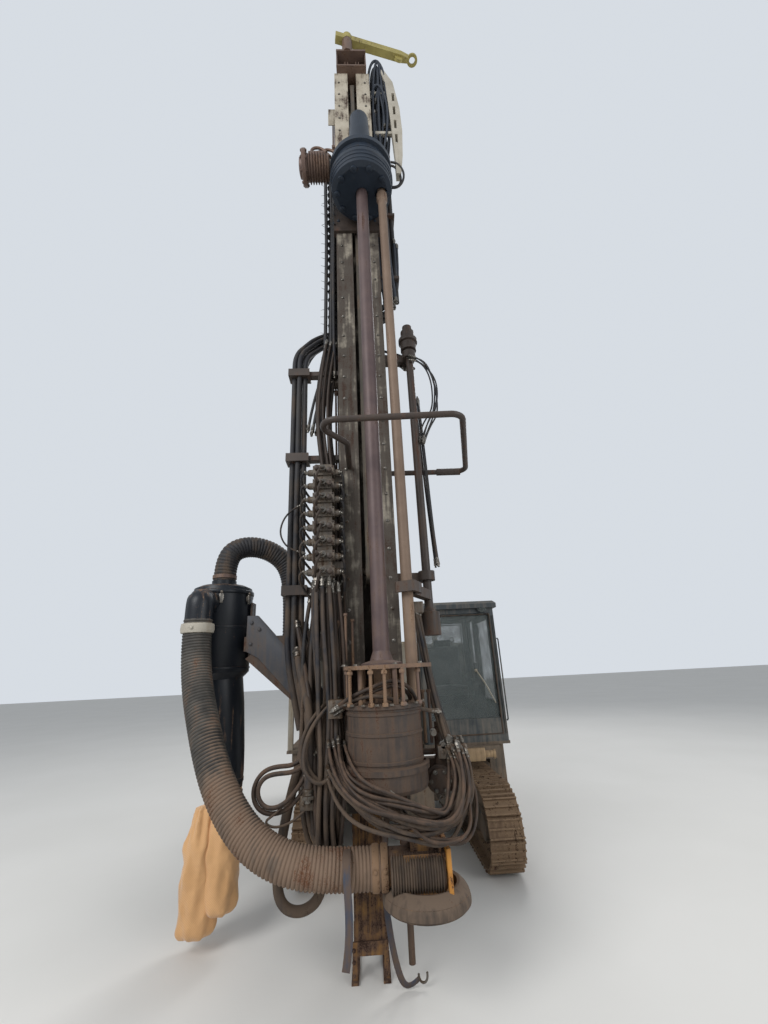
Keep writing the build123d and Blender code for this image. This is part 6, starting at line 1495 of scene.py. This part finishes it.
@dataclass
class Ends:
    """Bolts, rubber and small plates of the hood, the foot and the jib."""

    bench: Bench

    def hood(self) -> None:
        """Models the hood's corner bolts and its lifting lug."""
        places = [((x, -.688, z), Way.FRONT) for x in (.165, .397) for z in (.68, .84)]
        places += [((.419, y, z), Way.RIGHT) for y in (-.66, -.44) for z in (.68, .84)]
        bolts = self.bench.bolts(.011, places)
        lug = self.bench.block((.36, -.68, .85), (.375, -.6, .94), .004)
        self.bench.settle([bolts, lug], "hood_bolts", Body.HOOD, OCHRE_PAINT)

    def sleeve(self) -> None:
        """Models the corrugated rubber that bulges from the hood's front, and the plate at its right edge."""
        profile = [(.118, 0)]
        for rib in range(20):
            z = .016 * rib
            profile += [(.118, z + .002), (.128, z + .006), (.13, z + .009), (.119, z + .014)]
        profile.append((.112, .33))
        sleeve = self.bench.turned(profile, 56, (.062, -.6, .765), Way.RIGHT)
        self.bench.cut(sleeve, lambda face: face.center.y > -.672)
        self.bench.settle(sleeve, "hood_sleeve", Body.HOOD, SKIRT_RUBBER)
        plate = self.bench.block((.398, -.735, .645), (.426, -.42, .9), .005)
        self.bench.settle(plate, "hood_edge_plate", Body.HOOD, EDGE_PAINT)

    def skirt(self) -> None:
        """Models the domed rubber skirt, the boot over it and the band that holds it."""
        skirt = [(.208, .626), (.226, .618), (.242, .606), (.25, .594), (.253, .584), (.254, .572),
                 (.242, .572), (.241, .582), (.238, .59), (.23, .6), (.214, .609), (.198, .618)]
        boot = [(.19, .66), (.192, .686), (.21, .69), (.232, .677), (.252, .656), (.265, .634), (.271, .61),
                (.271, .588), (.264, .583), (.26, .6), (.258, .622), (.19, .645)]
        strap = [(.206, .61), (.222, .613), (.222, .626), (.206, .63)]
        rings = (
            # name, profile, sides, finish
            ("skirt_rubber", skirt, 64, SKIRT_RUBBER), ("skirt_boot", boot, 64, SKIRT_RUBBER),
            ("skirt_band", strap, 48, WORN_STEEL),
        )
        pieces = [self.bench.settle(self.bench.hoop(profile, sides, (ROD_X, ROD_Y, 0)), name, Body.HOOD,
                                    finish) for name, profile, sides, finish in rings]
        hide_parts("hood_skirt")

    def foot(self) -> None:
        """Models the bolts of the foot's frame and the three rods above it."""
        low, high = own_box("mast_foot")
        places = [((x, low.y, low.z + rise), Way.FRONT) for x in (low.x + .02, high.x - .02)
                  for rise in (.05, .12, .18)]
        bolts = self.bench.bolts(.01, places)
        routes = [[(x, -.12, low.z + .25), (x, -.12, 1.6)] for x in (-.14, -.09, -.03)]
        ribs = self.bench.tubes(routes, .006, False)
        self.bench.settle([bolts, ribs], "foot_bolts", Body.FOOT, OCHRE_PAINT)

    def jib(self) -> None:
        """Models the nut on top of the jib."""
        low, high = own_box("jib")
        places = [((low.x + .1, (low.y + high.y) / 2 - .05, high.z - .01), Way.UP)]
        bolts = self.bench.bolts(.02, places)
        self.bench.settle(bolts, "jib_nuts", Body.JIB, BARE_STEEL)


@dataclass
class Studio:
    """The pale floor, the soft lamps and the camera of the photograph."""

    lens_mm: float = 15.14
    sensor_mm: float = 36.0
    eye: Point = (-0.02, -3.83, 1.95)
    heading: float = 2.7
    pitch: float = 19.6
    roll: float = 2.84

    def camera(self) -> None:
        """Sets the camera where the photograph was taken, looking up along the mast."""
        heading, pitch, roll = (math.radians(a) for a in (self.heading, self.pitch, self.roll))
        level = Vector((math.sin(heading), math.cos(heading), 0))
        right = Vector((math.cos(heading), -math.sin(heading), 0))
        ahead = level * math.cos(pitch) + Vector((0, 0, math.sin(pitch)))
        above = right.cross(ahead)
        side = right * math.cos(roll) - above * math.sin(roll)
        top = right * math.sin(roll) + above * math.cos(roll)
        turn = Matrix((side, top, -ahead)).transposed().to_4x4()
        data = bpy.data.cameras.new("camera")
        data.lens = self.lens_mm
        data.sensor_width = self.sensor_mm
        data.sensor_fit = "AUTO"
        data.clip_end = 200.0
        camera = bpy.data.objects.new("camera", data)
        camera.matrix_world = Matrix.Translation(spot(*self.eye)) @ turn
        bpy.context.scene.collection.objects.link(camera)
        bpy.context.scene.camera = camera

    def floor(self) -> None:
        """Lays the plain pale floor under the tracks."""
        bpy.ops.mesh.primitive_plane_add(size=90, location=(0, 0, 0))
        floor = bpy.context.object
        floor.name = "floor"
        mix = Recipe("pale_concrete")
        tone = mix.mixed(mix.noise(0.6, 5.0), "#cfcdc8", "#dad8d4")
        floor.data.materials.append(mix.done({"Base Color": tone, "Roughness": 0.85}))

    def light(self) -> None:
        """Hangs the soft lamps and sets the pale sky."""
        world = bpy.data.worlds.new("studio")
        bpy.context.scene.world = world
        world.use_nodes = True
        tree = world.node_tree
        seen = add_node(tree, "LightPath")
        shown = add_node(tree, "Math", {0: seen.outputs["Is Camera Ray"], 1: seen.outputs["Is Glossy Ray"]},
                         operation="MAXIMUM")
        shown = add_node(tree, "Math", {0: shown.outputs[0], 1: seen.outputs["Is Transmission Ray"]},
                         operation="MAXIMUM")
        strength = add_node(tree, "MapRange", {"Value": shown.outputs[0], "To Min": 0.62, "To Max": 0.92})
        fill(tree.nodes["Background"], {"Color": linear("#dfe5ec"), "Strength": strength.outputs[0]})
        lamps = (
            # name, place, aim, size, watts
            ("key_lamp", (-7.0, -9.0, 9.5), (0.0, 0.0, 3.5), 6.0, 1150.0),
            ("fill_lamp", (8.0, -7.0, 5.0), (0.0, 0.0, 3.0), 6.0, 420.0),
            ("rim_lamp", (4.0, 9.0, 12.0), (0.0, 0.0, 4.0), 6.0, 700.0),
        )
        for name, at, aim, size, watts in lamps:
            data = bpy.data.lights.new(name, "AREA")
            data.size = size
            data.energy = watts
            lamp = bpy.data.objects.new(name, data)
            lamp.location = spot(*at)
            lamp.rotation_euler = (spot(*aim) - spot(*at)).to_track_quat("-Z", "Y").to_euler()
            bpy.context.scene.collection.objects.link(lamp)
        bpy.context.scene.view_settings.view_transform = "Standard"


def main() -> None:
    """Builds the sub-assemblies in order."""
    logging.basicConfig(level=logging.INFO, format="%(message)s")
    studio = Studio()
    studio.camera()
    bench = Bench()
    Straps(bench).both()
    bench.dress_nodes()
    line, bag, cyclone, looms = SuctionLine(bench), DustBag(bench), Cyclone(bench), HoseLooms(bench)
    valves, head, trim, cab = ValveStack(bench), RotaryHead(bench), MastTrim(bench), Cab(bench)
    house, ends = EngineHouse(bench), Ends(bench)
    steps = (
        line.hose, line.clamps, line.duct, bag.sacks, bag.ties,
        cyclone.shell, cyclone.carrier, cyclone.clips, cyclone.seams,
        looms.upper, looms.lower, looms.valve_loops, looms.pole_lines, looms.manifolds, looms.ties,
        valves.plugs, valves.solenoids, head.bell, head.carriage, head.motor,
        trim.beam_bolts, trim.side_plates, trim.drum_bolts, trim.studs, trim.clamp_drive,
        trim.drive_fittings, trim.side_tubes,
        cab.seals, cab.wiper, cab.fittings, cab.beam_box, cab.steps, cab.seat,
        house.eyes, house.rivets, house.rain_cap, house.roof_seams,
        ends.hood, ends.sleeve, ends.skirt, ends.foot, ends.jib,
    )
    for step in steps:
        step()
    studio.floor()
    studio.light()


if __name__ == "__main__":
    main()
